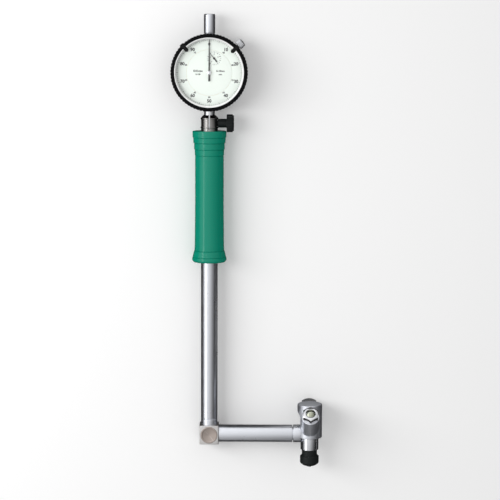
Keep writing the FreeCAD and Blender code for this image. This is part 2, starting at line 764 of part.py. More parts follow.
def make_case():
    centre = where("0", "dial_y")
    outline = [
        ("case_bore / 2", "main_plate_front"),
        ("lid_seat_d / 2", "main_plate_front"),
        ("lid_seat_d / 2", "case_back"),
        ("case_d / 2", "case_back"),
        ("case_d / 2", "case_front"),
        ("plate_d / 2", "case_front"),
        ("plate_d / 2", "front_plate_back"),
        ("case_bore / 2", "front_plate_back"),
    ]
    shell = turned("case_turned", outline, centre)
    stem_hole = rod("case_stem_hole", "stem_d", "10", where("0", "dial_y - case_d / 2 - 2", along="Y"))
    bush_hole = rod("case_bush_hole", "bush_d", "10", where("0", "dial_y + case_bore / 2 - 5", along="Y"))
    spot = rod("case_spot", "cap_neck_d", "5", where("0", "cap_foot", along="Y"))
    lock_place = spoke("lock_turn", "case_bore / 2 - 2", "lock_z")
    lock_hole = rod("case_lock_hole", "lock_d + 2 * gap", "8", lock_place)
    node("indicator_case", cut("indicator_case", shell, stem_hole, bush_hole, spot, lock_hole))
    lid_outline = [
        ("0", "lid_back"),
        ("lid_d / 2 - 0.6", "lid_back"),
        ("lid_d / 2", "lid_back + 0.6"),
        ("lid_d / 2", "case_back"),
        ("lid_seat_d / 2", "case_back"),
        ("lid_seat_d / 2", "main_plate_back"),
        ("lid_seat_d / 2 - 2", "main_plate_back"),
        ("lid_seat_d / 2 - 2", "case_back"),
        ("0", "case_back"),
    ]
    lid = turned("lid_turned", lid_outline, centre)
    screws = []
    ways = []
    for index in range(4):
        turn = f"{45 + 90 * index}"
        ways.append(lid_screw(f"lid_way_{index}", turn, False))
        screws.append(lid_screw(f"lid_screw_{index}", turn, True))
    node("back_lid", cut("back_lid", lid, *ways))
    node("lid_screws", fused("lid_screws", *screws))


def lid_screw(name, turn, slotted):
    """A countersunk screw at the lid's rim, or the hole for one, head towards -Z."""
    radius = number("lid_seat_d / 2 - 1")
    angle = math.radians(number(turn))
    place = FreeCAD.Placement(
        V(radius * math.cos(angle), number("dial_y") + radius * math.sin(angle), 0), FreeCAD.Rotation()
    )
    outline = [
        ("0", "lid_back"),
        ("1.3", "lid_back"),
        ("0.6", "lid_back + 0.8"),
        ("0.6", "main_plate_front"),
        ("0", "main_plate_front"),
    ]
    item = turned(name, outline, place)
    if not slotted:
        return item
    slot = block(name + "_slot", ("3", "0.4", "0.6"), place.multiply(where("-1.5", "-0.2", "lid_back - 0.2")))
    return cut(name + "_slotted", item, slot)


def spoke(turn, radius, height):
    """A placement on the indicator whose own Z points radially outwards, `turn` degrees from straight up."""
    spin = FreeCAD.Rotation(V(0, 0, 1), number(turn))
    base = V(0, number("dial_y"), number(height)) + spin.multVec(V(0, number(radius), 0))
    return FreeCAD.Placement(base, spin.multiply(FreeCAD.Rotation(V(1, 0, 0), -90)))


def make_stem_and_cap():
    up = where(along="Y")
    bore = "spindle_d / 2 + gap"
    stem = [
        (bore, "stem_foot"),
        ("stem_d / 2 - 0.4", "stem_foot"),
        ("stem_d / 2", "stem_foot + 0.4"),
        ("stem_d / 2", "stem_top"),
        (bore, "stem_top"),
    ]
    node("stem", turned("stem", stem, up))
    bush_ends = ("dial_y + case_bore / 2 - 1", "cap_neck_top")
    node("top_bush", ring("top_bush", "bush_d", "spindle_d + 2 * gap", *bush_ends, up))
    cap = [
        ("bush_d / 2", "cap_foot"),
        ("cap_neck_d / 2", "cap_foot"),
        ("cap_neck_d / 2", "cap_neck_top"),
        ("cap_d / 2", "cap_neck_top"),
        ("cap_d / 2", "cap_top - 1"),
        ("cap_d / 2 - 1", "cap_top"),
        ("0", "cap_top"),
        ("0", "cap_top - 1.4"),
        ("spindle_d / 2 + 0.4", "cap_top - 1.4"),
        ("spindle_d / 2 + 0.4", "cap_neck_top"),
        ("bush_d / 2", "cap_neck_top"),
    ]
    node("spindle_cap", turned("spindle_cap", cap, up))


def make_plates():
    centre = where("0", "dial_y")
    arbor = "arbor_d + 2 * gap"
    main = ring("main_plate_disc", "plate_d", "6", "main_plate_back", "main_plate_front", centre)
    stud_place = where("return_x", "dial_y - guide_rise", "main_plate_back")
    stud = rod("main_plate_stud", "stud_d", "stud_top - main_plate_back", stud_place)
    pivot = rod("main_plate_pivot", arbor, "3", where("-wheel_x", "dial_y - wheel_y", "main_plate_back - 1"))
    holes = [lid_screw_hole(turn) for turn in ("45", "135", "225", "315")]
    node("main_plate", cut("main_plate", fused("main_plate_blank", main, stud), pivot, *holes))
    bridge_size = ("pillar_x * 2 + 4", "18", "bridge_front - bridge_back")
    bridge = block("bridge_bar", bridge_size, where("-pillar_x - 2", "dial_y - 4", "bridge_back"))
    spring_stud = rod("bridge_stud", "0.8", "1", where("wheel_x + 4.6", "dial_y + wheel_y", "bridge_back"))
    spots = []
    for index, (x, y) in enumerate((("0", "dial_y"), ("wheel_x", "dial_y + wheel_y"))):
        spots.append(rod(f"bridge_pivot_{index}", arbor, "3", where(x, y, "bridge_back - 1")))
    pillars = []
    for index in range(4):
        x = "pillar_x" if index % 2 else "-pillar_x"
        y = "dial_y + pillar_high" if index < 2 else "dial_y + pillar_low"
        length = "front_plate_back - main_plate_front"
        pillars.append(rod(f"pillar_{index}", "pillar_d", length, where(x, y, "main_plate_front")))
        if index < 2:
            spots.append(rod(f"bridge_way_{index}", "pillar_d", "3", where(x, y, "bridge_back - 1")))
    node("bridge_plate", cut("bridge_plate", fused("bridge_blank", bridge, spring_stud), *spots))
    node("plate_pillars", fused("plate_pillars", *pillars))
    arbors = (("0", "dial_y"), ("wheel_x", "dial_y + wheel_y"), ("-wheel_x", "dial_y - wheel_y"))
    for name, diameter, back, front in (
        ("front_plate", "plate_d", "front_plate_back", "front_plate_front"),
        ("dial_plate", "dial_plate_d", "front_plate_front", "dial_face"),
    ):
        disc = rod(name + "_disc", diameter, f"{front} - {back}", where("0", "dial_y", back))
        ways = []
        for index, (x, y) in enumerate(arbors[: 3 if name == "front_plate" else 2]):
            ways.append(rod(f"{name}_way_{index}", arbor, "3", where(x, y, f"{back} - 1")))
        node(name, cut(name, disc, *ways))


def lid_screw_hole(turn):
    radius = number("lid_seat_d / 2 - 1")
    angle = math.radians(number(turn))
    hole = rod(f"main_plate_hole_{turn}", "1.2", "3", where(z="main_plate_back - 1"))
    hole.Placement.Base += V(radius * math.cos(angle), number("dial_y") + radius * math.sin(angle), 0)
    return hole


def make_spindle():
    up = where(along="Y")
    outline = [
        ("0", "spindle_foot"),
        ("spindle_d / 2", "spindle_foot"),
        ("spindle_d / 2", "spindle_top - 0.5"),
        ("spindle_d / 2 - 0.5", "spindle_top"),
        ("0", "spindle_top"),
    ]
    blank = turned("spindle_turned", outline, up)
    module = number("rack_pitch") / math.pi
    comb = shape("rack_comb", plate_of(rack_outline(module), 4), where("0", "dial_y - wheel_y", "-2"))
    pin_place = where("0", "dial_y + guide_rise", along="X")
    pin_hole = rod("spindle_pin_hole", "guide_pin_d", "spindle_d", pin_place)
    node("spindle", cut("spindle", blank, comb, pin_hole))
    point = [
        ("0", "rod_top + gap", dome("point_d / 2 - 0.2", "point_rise")),
        ("point_d / 2 - 0.2", "rod_top + gap + point_rise"),
        ("point_d / 2", "rod_top + gap + point_rise"),
        ("point_d / 2", "spindle_foot"),
        ("0", "spindle_foot"),
    ]
    node("contact_point", turned("contact_point", point, up))
    node("guide_pin", rod("guide_pin", "guide_pin_d", "return_x + 1.1", pin_place))
    rail_size = ("rail_wide", "rail_long", "rail_front - main_plate_front")
    rail = block("guide_bar", rail_size, where("rail_x", "dial_y + guide_rise - 3", "main_plate_front"))
    groove_place = where("rail_x - 1", "dial_y + guide_rise - 1", "-guide_pin_d / 2 - gap")
    groove = block("guide_groove", ("rail_wide + 2", "rail_long", "guide_pin_d + 2 * gap"), groove_place)
    node("guide_rail", cut("guide_rail", rail, groove))
    spring = coil(number("return_d / 2"), number("2 * guide_rise - guide_pin_d"), 8, 0.5)
    foot = where("return_x", "dial_y - guide_rise + guide_pin_d / 2", along="Y")
    node("return_spring", shape("return_spring", spring, foot))


def rack_outline(module):
    """The comb that cuts the rack teeth into the spindle's side, one tooth level with its own origin."""
    pitch = number("rack_pitch")
    line = -number("rack_line")
    tip = line - 0.9 * module
    root = line + 1.2 * module
    first = -19
    last = 6
    points = [(-4, first * pitch), (tip, first * pitch)]
    for tooth in range(first, last):
        middle = (tooth + 0.5) * pitch
        points.append((tip, middle - 0.36 * pitch))
        points.append((root, middle - 0.12 * pitch))
        points.append((root, middle + 0.12 * pitch))
        points.append((tip, middle + 0.36 * pitch))
    points.append((tip, last * pitch))
    points.append((-4, last * pitch))
    return points


def gear_outline(teeth, module, start, root_half, tip_half):
    """Straight-flanked clock teeth.  The half widths are shares of the tooth pitch."""
    pitch = 2 * math.pi / teeth
    pitch_radius = teeth * module / 2
    root = pitch_radius - 1.2 * module
    tip = pitch_radius + 0.9 * module
    points = []
    for tooth in range(teeth):
        middle = start + tooth * pitch
        for radius, share in ((root, -root_half), (tip, -tip_half), (tip, tip_half), (root, root_half)):
            angle = middle + share * pitch
            points.append((radius * math.cos(angle), radius * math.sin(angle)))
    return points


def make_train():
    """Rack, first wheel, centre pinion and take-up wheel: one turn of the pointer per millimetre."""
    module = number("gear_module")
    wheel_teeth = int(number("wheel_teeth"))
    pinion_teeth = int(number("pinion_teeth"))
    rack_teeth = int(number("rack_teeth"))
    thick = number("wheel_thick")
    centres = math.atan2(number("wheel_y"), number("wheel_x"))
    half_tooth = math.pi / wheel_teeth
    first = ("-wheel_x", "dial_y - wheel_y")
    middle = ("0", "dial_y")
    last = ("wheel_x", "dial_y + wheel_y")
    for name, (x, y), start in (
        ("first_wheel", first, centres + half_tooth),
        ("takeup_wheel", last, centres + math.pi + half_tooth),
    ):
        teeth = plate_of(gear_outline(wheel_teeth, module, start, 0.3, 0.12), thick)
        wheel = shape(name + "_teeth", teeth, where(x, y, "wheel_back"))
        if name == "first_wheel":
            back, front = "main_plate_back", "front_plate_front - 0.2"
            rack_module = number("rack_pitch") / math.pi
            profile = gear_outline(rack_teeth, rack_module, math.pi / rack_teeth, 0.3, 0.12)
            rest = [shape("rack_pinion", plate_of(profile, 2.2), where(x, y, "-1.1"))]
        else:
            back, front = "bridge_back", "hand_back + 0.2"
            collet_place = where(x, y, "bridge_front + 0.1")
            rest = [rod("spring_collet", "1.8", "wheel_back - bridge_front - 0.1", collet_place)]
        arbor = rod(name + "_arbor", "arbor_d", f"({front}) - ({back})", where(x, y, back))
        node(name, fused(name, wheel, arbor, *rest))
    x, y = middle
    leaves = plate_of(gear_outline(pinion_teeth, module, centres, 0.27, 0.12), thick + 0.8)
    pinion = shape("centre_leaves", leaves, where(x, y, "wheel_back - 0.4"))
    arbor = rod("centre_shaft", "arbor_d", "pointer_back + 0.3 - bridge_back", where(x, y, "bridge_back"))
    node("centre_arbor", fused("centre_arbor", pinion, arbor))
    x, y = last
    spiral = spiral_strip(0.95, 4.1, 3, 0.12, 0.4)
    node("hairspring", shape("hairspring", spiral, where(x, y, "bridge_front + 0.2")))


def spiral_strip(inner, outer, turns, thick, width):
    """A flat spiral spring: `turns` turns between two radii."""
    steps = turns * 20
    inside = []
    outside = []
    for step in range(steps + 1):
        share = step / steps
        angle = 2 * math.pi * turns * share
        radius = inner + (outer - inner) * share
        for side, line in ((-thick / 2, inside), (thick / 2, outside)):
            line.append(((radius + side) * math.cos(angle), (radius + side) * math.sin(angle)))
    return plate_of(inside + outside[::-1], width)


def make_hands():
    pointer = [
        ("-1", "-pointer_tail"),
        ("1", "-pointer_tail"),
        ("0.45", "0"),
        ("0.12", "pointer_tip"),
        ("-0.12", "pointer_tip"),
        ("-0.45", "0"),
    ]
    spot = where("0", "dial_y", "pointer_back")
    blade = padded("pointer_blade", pointer, "pointer_thick", spot)
    cap = rod("pointer_hub", "pointer_hub_d", "pointer_hub_high", spot)
    bore = rod("pointer_bore", "arbor_d", "pointer_thick", spot)
    node("pointer", cut("pointer", fused("pointer_blank", blade, cap), bore))
    hand = [
        ("-0.55", "-hand_tail"),
        ("0.55", "-hand_tail"),
        ("0.3", "0"),
        ("0.1", "hand_tip"),
        ("-0.1", "hand_tip"),
        ("-0.3", "0"),
    ]
    spot = where("wheel_x", "dial_y + wheel_y", "hand_back", turn="hand_turn")
    blade = padded("hand_blade", hand, "hand_thick", spot)
    cap = rod("hand_hub", "hand_hub_d", "2 * hand_thick", spot)
    bore = rod("hand_bore", "arbor_d", "hand_thick", spot)
    node("counter_hand", cut("counter_hand", fused("hand_blank", blade, cap), bore))


def make_bezel():
    centre = where("0", "dial_y")
    outline = [
        ("case_d / 2 + gap", "bezel_back"),
        ("bezel_d / 2 - 0.5", "bezel_back"),
        ("bezel_d / 2", "bezel_back + 0.5"),
        ("bezel_d / 2", "bezel_front - 0.6"),
        ("bezel_d / 2 - 0.6", "bezel_front"),
        ("ring_d / 2", "bezel_front"),
        ("ring_d / 2", "crystal_front"),
        ("crystal_d / 2", "crystal_front"),
        ("crystal_d / 2", "crystal_back"),
        ("view_d / 2 + 0.1", "crystal_back"),
        ("view_d / 2 + 0.1", "dial_face"),
        ("dial_ring_d / 2", "dial_face"),
        ("dial_ring_d / 2", "case_front + gap"),
        ("case_d / 2 + gap", "case_front + gap"),
    ]
    bezel = turned("bezel", outline, centre)
    notch = bezel.newObject("Sketcher::SketchObject", "bezel_notch")
    notch.AttachmentSupport = (plane_of(bezel, "XY_Plane"), [""])
    notch.MapMode = "FlatFace"
    rim = "bezel_d / 2 + 0.3"
    draw(notch, [("bezel_d / 2 - notch_deep", "0"), (rim, "-notch_wide / 2"), (rim, "notch_wide / 2")])
    pocket = bezel.newObject("PartDesign::Pocket", "bezel_pocket")
    pocket.Profile = notch
    pocket.Type = "ThroughAll"
    pocket.Midplane = True
    doc.recompute()
    pattern = bezel.newObject("PartDesign::PolarPattern", "bezel_pattern")
    pattern.Originals = [pocket]
    pattern.Axis = (notch, ["N_Axis"])
    pattern.Angle = 360
    pattern.setExpression("Occurrences", bound("bezel_notches"))
    bezel.Tip = pattern
    doc.recompute()
    node("bezel", bezel)
    ring_faces = ("dial_ring_back", "dial_face")
    node("dial_ring", ring("dial_ring", "dial_ring_d", "dial_plate_d + 0.2", *ring_faces, centre))
    glass_place = where("0", "dial_y", "crystal_back")
    node("crystal", rod("crystal", "crystal_d", "crystal_front - crystal_back", glass_place))
    crystal_ring = [
        ("view_d / 2", "crystal_front"),
        ("ring_d / 2", "crystal_front"),
        ("ring_d / 2", "bezel_front"),
        ("ring_d / 2 - 0.5", "bezel_front"),
        ("view_d / 2", "crystal_front + 0.3"),
    ]
    node("crystal_ring", turned("crystal_ring", crystal_ring, centre))


def make_marker(name, turn):
    """A tolerance marker: a leg outside the bezel and a finger over the crystal."""
    outside = "bezel_d / 2 + gap"
    finger = [
        ("-marker_wide / 2", "marker_tip + 1"),
        ("0", "marker_tip"),
        ("marker_wide / 2", "marker_tip + 1"),
        ("marker_wide / 2", f"{outside} + marker_leg"),
        ("-marker_wide / 2", f"{outside} + marker_leg"),
    ]
    top = "bezel_front + gap"
    plate = padded(name + "_finger", finger, "marker_thick", where("0", "dial_y", top, turn=turn))
    leg_size = ("marker_wide", "marker_leg", "marker_thick + marker_drop")
    leg_place = where("-marker_wide / 2", outside, f"{top} - marker_drop")
    leg = block(name + "_leg", leg_size, where("0", "dial_y", turn=turn).multiply(leg_place))
    node(name, fused(name, plate, leg))


def make_lock():
    place = spoke("lock_turn", "0", "lock_z")
    outline = [
        ("0", "case_bore / 2 + 0.2"),
        ("lock_d / 2", "case_bore / 2 + 0.2"),
        ("lock_d / 2", "lock_knob_start"),
        ("lock_knob_d / 2", "lock_knob_start"),
        ("lock_knob_d / 2", "lock_knob_end - 0.8", dome("lock_knob_d / 2", "0.8")),
        ("0", "lock_knob_end"),
    ]
    node("lock_screw", turned("lock_screw", outline, place))
    shoe_place = place.multiply(where("-shoe_wide / 2", "-shoe_wide / 2", "case_d / 2 - 0.1"))
    shoe = block("shoe_block", ("shoe_wide", "shoe_wide - 0.1", "2"), shoe_place)
    way = rod("shoe_way", "lock_d + 2 * gap", "4", place.multiply(where(z="case_d / 2 - 1")))
    barrel = rod("shoe_barrel", "case_d", "20", where("0", "dial_y", "-10"))
    node("lock_shoe", cut("lock_shoe", shoe, way, barrel))


make_tube()
make_grip()
make_clamp()
make_elbow()
make_arm()
make_head()
make_sleeve()
make_plunger()
make_case()
make_stem_and_cap()
make_plates()
make_spindle()
make_train()
make_hands()
make_bezel()
make_marker("marker_left", "marker_left_turn")
make_marker("marker_right", "marker_right_turn")
make_lock()
doc.recompute()

failed = [item.Name for item in doc.Objects if "Invalid" in item.State or "Error" in item.State]
if failed:
    raise RuntimeError("failed objects: " + ", ".join(failed))
for name, item in nodes.items():
    if item.Shape.isNull() or not item.Shape.isValid():
        raise RuntimeError(f"{name} has no valid shape")

os.makedirs("parts", exist_ok=True)
for name, item in nodes.items():
    item.Shape.exportStep(f"parts/{name}.step")
    print(name, "solids", len(item.Shape.Solids), "volume", round(item.Shape.Volume, 2))
print(len(nodes), "nodes")
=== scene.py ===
import json
import math

import bmesh
import bpy
from mathutils import Matrix, Vector


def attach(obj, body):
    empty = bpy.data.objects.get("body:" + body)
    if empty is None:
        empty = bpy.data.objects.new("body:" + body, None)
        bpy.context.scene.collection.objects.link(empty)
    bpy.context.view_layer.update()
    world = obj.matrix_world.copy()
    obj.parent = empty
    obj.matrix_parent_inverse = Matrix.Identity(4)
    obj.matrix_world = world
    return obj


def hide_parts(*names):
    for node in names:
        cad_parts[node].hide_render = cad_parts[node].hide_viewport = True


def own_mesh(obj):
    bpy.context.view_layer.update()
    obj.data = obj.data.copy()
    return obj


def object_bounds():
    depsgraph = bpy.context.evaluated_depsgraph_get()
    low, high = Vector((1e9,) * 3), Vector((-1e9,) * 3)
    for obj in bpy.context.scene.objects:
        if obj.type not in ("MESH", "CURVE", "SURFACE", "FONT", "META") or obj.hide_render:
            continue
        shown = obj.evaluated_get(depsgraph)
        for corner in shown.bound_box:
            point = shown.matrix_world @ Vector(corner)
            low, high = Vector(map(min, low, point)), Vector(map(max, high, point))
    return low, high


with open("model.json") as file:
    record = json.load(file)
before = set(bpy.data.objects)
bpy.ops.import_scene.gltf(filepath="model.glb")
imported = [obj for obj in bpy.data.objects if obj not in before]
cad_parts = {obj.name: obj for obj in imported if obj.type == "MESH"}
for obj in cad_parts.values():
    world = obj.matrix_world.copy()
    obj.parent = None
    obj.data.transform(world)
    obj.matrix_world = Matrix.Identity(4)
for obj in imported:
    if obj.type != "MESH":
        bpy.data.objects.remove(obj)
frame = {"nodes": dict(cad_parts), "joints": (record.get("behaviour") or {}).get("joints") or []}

# Dial bore gauge with a right-angle head, lying on its back on a pale floor.
# Every piece is drawn in mm in its own space, placed on one of the gauge's axes below,
# and ends at the origin with its place in its mesh.

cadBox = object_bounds()
mm = 0.001
scene = bpy.context.scene

# The gauge's frame: X along the short arm, Y up the long tube, Z out of the dial,
# origin where the axes of tube and arm cross.
joints = {joint["name"]: joint for joint in frame["joints"]}
crankArm = 3.4
yAxis = Vector(joints["spindle_slide"]["axis"]).normalized()
zAxis = -Vector(joints["pointer_turn"]["axis"]).normalized()
xAxis = yAxis.cross(zAxis)
elbowPivot = Vector(joints["elbow_lever_turn"]["pos_m"])
gauge = Matrix((xAxis, yAxis, zAxis)).transposed().to_4x4()
gauge.translation = elbowPivot - (xAxis + yAxis) * crankArm * mm
gaugeInMm = gauge @ Matrix.Scale(mm, 4)


def spanOf(node):
    # lowest and highest corner of a CAD node in the gauge's frame, in mm
    back = gaugeInMm.inverted()
    corners = [back @ vertex.co for vertex in frame["nodes"][node].data.vertices]
    low = Vector(min(corner[i] for corner in corners) for i in range(3))
    high = Vector(max(corner[i] for corner in corners) for i in range(3))
    return low, high


def axisAt(x=0.0, y=0.0, z=0.0, along=(0, 1, 0), across=(1, 0, 0)):
    # a working space whose own Z runs along the given direction of the gauge
    up = Vector(along).normalized()
    side = Vector(across)
    side = (side - up * side.dot(up)).normalized()
    turn = Matrix((side, up.cross(side), up)).transposed().to_4x4()
    return Matrix.Translation((x, y, z)) @ turn


dialLow, dialHigh = spanOf("dial_ring")
dialY = (dialLow.y + dialHigh.y) / 2
dialFace = dialHigh.z
headLow, headHigh = spanOf("sleeve")
headX = (headLow.x + headHigh.x) / 2
slant = math.sqrt(0.5)
rodWayRadius = 2.3

onTube = axisAt()
onArm = axisAt(along=(1, 0, 0), across=(0, 1, 0))
onHead = axisAt(x=headX)
onFrontBoss = axisAt(x=headX, along=(0, slant, slant))
onRearBoss = axisAt(x=headX, along=(0, slant, -slant))
onDial = axisAt(y=dialY, along=(0, 0, 1))


# mesh helpers

def rounded(outline, closed):
    # points of an outline whose corners (across, along, radius) are rounded off
    points = []
    count = len(outline)
    for index, corner in enumerate(outline):
        here = Vector(corner[:2])
        radius = corner[2] if len(corner) > 2 else 0
        atEnd = not closed and index in (0, count - 1)
        if not radius or atEnd:
            points.append(here)
            continue
        before = Vector(outline[index - 1][:2]) - here
        after = Vector(outline[(index + 1) % count][:2]) - here
        half = before.angle(after) / 2
        reach = min(radius / math.tan(half), before.length * 0.48, after.length * 0.48)
        middle = here + (before.normalized() + after.normalized()).normalized() * reach / math.cos(half)
        start = here + before.normalized() * reach - middle
        stop = here + after.normalized() * reach - middle
        sweep = start.angle_signed(stop)
        steps = max(2, round(abs(sweep) / math.radians(15)))
        for step in range(steps + 1):
            angle = -sweep * step / steps
            turned = Vector((
                start.x * math.cos(angle) - start.y * math.sin(angle),
                start.x * math.sin(angle) + start.y * math.cos(angle),
            ))
            points.append(middle + turned)
    return points


def crown(radius, foot, rise, steps=8):
    # outline points of a spherical cap from its rim to the axis
    ball = (radius ** 2 + rise ** 2) / (2 * rise)
    middle = foot + rise - ball
    spread = math.asin(min(1, radius / ball))
    return [
        (
            ball * math.sin(spread * (1 - step / steps)),
            middle + ball * math.cos(spread * (1 - step / steps)),
        )
        for step in range(steps)
    ] + [(0, foot + rise)]


def meshOf(name, bm):
    bmesh.ops.remove_doubles(bm, verts=bm.verts, dist=1e-5)
    bmesh.ops.recalc_face_normals(bm, faces=bm.faces)
    mesh = bpy.data.meshes.new(name)
    bm.to_mesh(mesh)
    bm.free()
    piece = bpy.data.objects.new(name, mesh)
    scene.collection.objects.link(piece)
    return piece


def lathe(name, outline, sides=96):
    # turns an outline of (radius, distance along) corners about Z; a bored outline is a closed loop
    bored = all(corner[0] > 1e-6 for corner in outline)
    profile = rounded(outline, bored)
    bm = bmesh.new()
    rings = []
    for point in profile:
        if point.x < 1e-6:
            rings.append([bm.verts.new((0, 0, point.y))])
            continue
        ring = []
        for side in range(sides):
            angle = 2 * math.pi * side / sides
            ring.append(bm.verts.new((point.x * math.cos(angle), point.x * math.sin(angle), point.y)))
        rings.append(ring)
    pairs = list(zip(rings, rings[1:]))
    if bored:
        pairs.append((rings[-1], rings[0]))
    for low, high in pairs:
        for side in range(sides):
            after = (side + 1) % sides
            corners = [
                low[side % len(low)], low[after % len(low)], high[after % len(high)],
                high[side % len(high)],
            ]
            corners = list(dict.fromkeys(corners))
            if len(corners) > 2:
                bm.faces.new(corners)
    return meshOf(name, bm)


def rod(radius, low, high, sides=64):
    return lathe("rodTool", [(0, low), (radius, low), (radius, high), (0, high)], sides)


def plate(name, points, back, front, bevel=0.0):
    # a flat piece cut to an outline, its edges broken
    bm = bmesh.new()
    face = bm.faces.new([bm.verts.new((x, y, back)) for x, y in points])
    made = bmesh.ops.extrude_face_region(bm, geom=[face])
    raised = [item for item in made["geom"] if isinstance(item, bmesh.types.BMVert)]
    bmesh.ops.translate(bm, verts=raised, vec=(0, 0, front - back))
    if bevel:
        bmesh.ops.bevel(
            bm, geom=list(bm.edges), offset=bevel, segments=2, affect="EDGES", clamp_overlap=True,
        )
    return meshOf(name, bm)


def brick(name, low, high, bevel=0.0, segments=3):
    bm = bmesh.new()
    made = bmesh.ops.create_cube(bm, size=1)
    middle = (Vector(low) + Vector(high)) / 2
    size = Vector(high) - Vector(low)
    for vertex in made["verts"]:
        vertex.co = Vector(a * b for a, b in zip(vertex.co, size)) + middle
    if bevel:
        bmesh.ops.bevel(
            bm, geom=list(bm.edges), offset=bevel, segments=segments, affect="EDGES", profile=0.5,
        )
    return meshOf(name, bm)


def baked(piece):
    # turns what the modifiers make into a plain mesh and takes them off
    shown = piece.evaluated_get(bpy.context.evaluated_depsgraph_get())
    mesh = bpy.data.meshes.new_from_object(shown)
    piece.modifiers.clear()
    old = piece.data
    piece.data = mesh
    if old.users == 0:
        bpy.data.meshes.remove(old)
    return piece


def carve(base, tool, operation="DIFFERENCE"):
    modifier = base.modifiers.new("carve", "BOOLEAN")
    modifier.object = tool
    modifier.operation = operation
    modifier.solver = "EXACT"
    baked(base)
    bpy.data.objects.remove(tool)
    return base


def shifted(piece, matrix):
    piece.data.transform(matrix)
    return piece


def drill(base, space, radius, low, high, sides=64):
    return carve(base, shifted(rod(radius, low, high, sides), space))


def joined(name, items):
    bm = bmesh.new()
    for item in items:
        bm.from_mesh(item.data)
        bpy.data.objects.remove(item)
    mesh = bpy.data.meshes.new(name)
    bm.to_mesh(mesh)
    bm.free()
    piece = bpy.data.objects.new(name, mesh)
    scene.collection.objects.link(piece)
    return piece


def settle(piece, space, body, material, *nodes, slot=None, sharp=32):
    # keeps the turning coordinates for the finish, then puts the piece in its place on the gauge
    mesh = piece.data
    turned = mesh.attributes.new("turned", "FLOAT_VECTOR", "POINT")
    coordinates = [0.0] * (3 * len(mesh.vertices))
    mesh.vertices.foreach_get("co", coordinates)
    turned.data.foreach_set("vector", coordinates)
    mesh.transform(gaugeInMm @ space)
    mesh.shade_smooth()
    mesh.set_sharp_from_angle(angle=math.radians(sharp))
    mesh.materials.clear()
    mesh.materials.append(material)
    if nodes:
        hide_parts(*nodes)
    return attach(piece, body)


# node helpers

def newTree(name, kind, inputs, outputs):
    tree = bpy.data.node_groups.new(name, kind)
    for label, socket, value in inputs:
        made = tree.interface.new_socket(label, in_out="INPUT", socket_type=socket)
        if value is not None:
            made.default_value = value
    for label, socket in outputs:
        tree.interface.new_socket(label, in_out="OUTPUT", socket_type=socket)
    return tree, tree.nodes.new("NodeGroupInput"), tree.nodes.new("NodeGroupOutput")


def feed(tree, socket, value):
    if isinstance(value, bpy.types.NodeSocket):
        tree.links.new(value, socket)
    else:
        socket.default_value = value


def add(tree, kind, values=None, **settings):
    # a node with its settings; values may be numbers or sockets to link from
    node = tree.nodes.new(kind)
    for name, value in settings.items():
        setattr(node, name, value)
    for key, value in (values or {}).items():
        feed(tree, node.inputs[key], value)
    return node


def sums(tree, operation, first, second=0.0, third=0.0):
    return add(tree, "ShaderNodeMath", {0: first, 1: second, 2: third}, operation=operation).outputs[0]


def axes(tree, x=0.0, y=0.0, z=0.0):
    return add(tree, "ShaderNodeCombineXYZ", {0: x, 1: y, 2: z}).outputs[0]


def pointCircle(tree, given, across, along):
    # points round a circle and the angle of each
    points = add(tree, "GeometryNodePoints", {"Count": given.outputs["Count"]})
    index = add(tree, "GeometryNodeInputIndex").outputs[0]
    step = sums(tree, "DIVIDE", math.tau, given.outputs["Count"])
    angle = sums(tree, "MULTIPLY_ADD", index, step, given.outputs["First Angle"])
    place = axes(tree, sums(tree, "MULTIPLY", sums(tree, across, angle), given.outputs["Radius"]),
                 sums(tree, "MULTIPLY", sums(tree, along, angle), given.outputs["Radius"]))
    placed = add(tree, "GeometryNodeSetPosition", {0: points.outputs[0], "Position": place})
    return placed.outputs[0], angle


def closeTree(tree, given, out, geometry):
    real = add(tree, "GeometryNodeRealizeInstances", {0: geometry.outputs[0]})
    painted = add(tree, "GeometryNodeSetMaterial", {
        0: real.outputs[0], "Material": given.outputs["Material"],
    })
    tree.links.new(painted.outputs[0], out.inputs[0])
    return tree


def grow(piece, tree, values):
    # adds a geometry tree with its inputs set by the sockets' identifiers, and bakes it
    modifier = piece.modifiers.new(tree.name, "NODES")
    modifier.node_group = tree
    for item in tree.interface.items_tree:
        if item.item_type == "SOCKET" and item.in_out == "INPUT" and item.name in values:
            modifier[item.identifier] = values[item.name]
    return baked(piece)


def emptyPiece(name):
    piece = bpy.data.objects.new(name, bpy.data.meshes.new(name))
    scene.collection.objects.link(piece)
    return piece


# geometry trees: dial marks, knurled rims, rings of screws

def makeMarksTree():
    # bars standing round a circle like the graduations of a dial
    tree, given, out = newTree("dialMarks", "GeometryNodeTree", [
        ("Count", "NodeSocketInt", 10),
        ("Radius", "NodeSocketFloat", 10.0),
        ("Length", "NodeSocketFloat", 1.0),
        ("Width", "NodeSocketFloat", 0.1),
        ("Height", "NodeSocketFloat", 0.02),
        ("First Angle", "NodeSocketFloat", 0.0),
        ("Material", "NodeSocketMaterial", None),
    ], [("Geometry", "NodeSocketGeometry")])
    placed, angle = pointCircle(tree, given, "SINE", "COSINE")
    bar = add(tree, "GeometryNodeMeshCube", {
        "Size": axes(tree, given.outputs["Width"], given.outputs["Length"], given.outputs["Height"]),
    })
    inwards = axes(tree, 0.0, sums(tree, "MULTIPLY", given.outputs["Length"], -0.5),
                   sums(tree, "MULTIPLY", given.outputs["Height"], 0.5))
    moved = add(tree, "GeometryNodeTransform", {0: bar.outputs[0], "Translation": inwards})
    spin = axes(tree, z=sums(tree, "MULTIPLY", angle, -1.0))
    ring = add(tree, "GeometryNodeInstanceOnPoints", {
        "Points": placed, "Instance": moved.outputs[0], "Rotation": spin,
    })
    return closeTree(tree, given, out, ring)


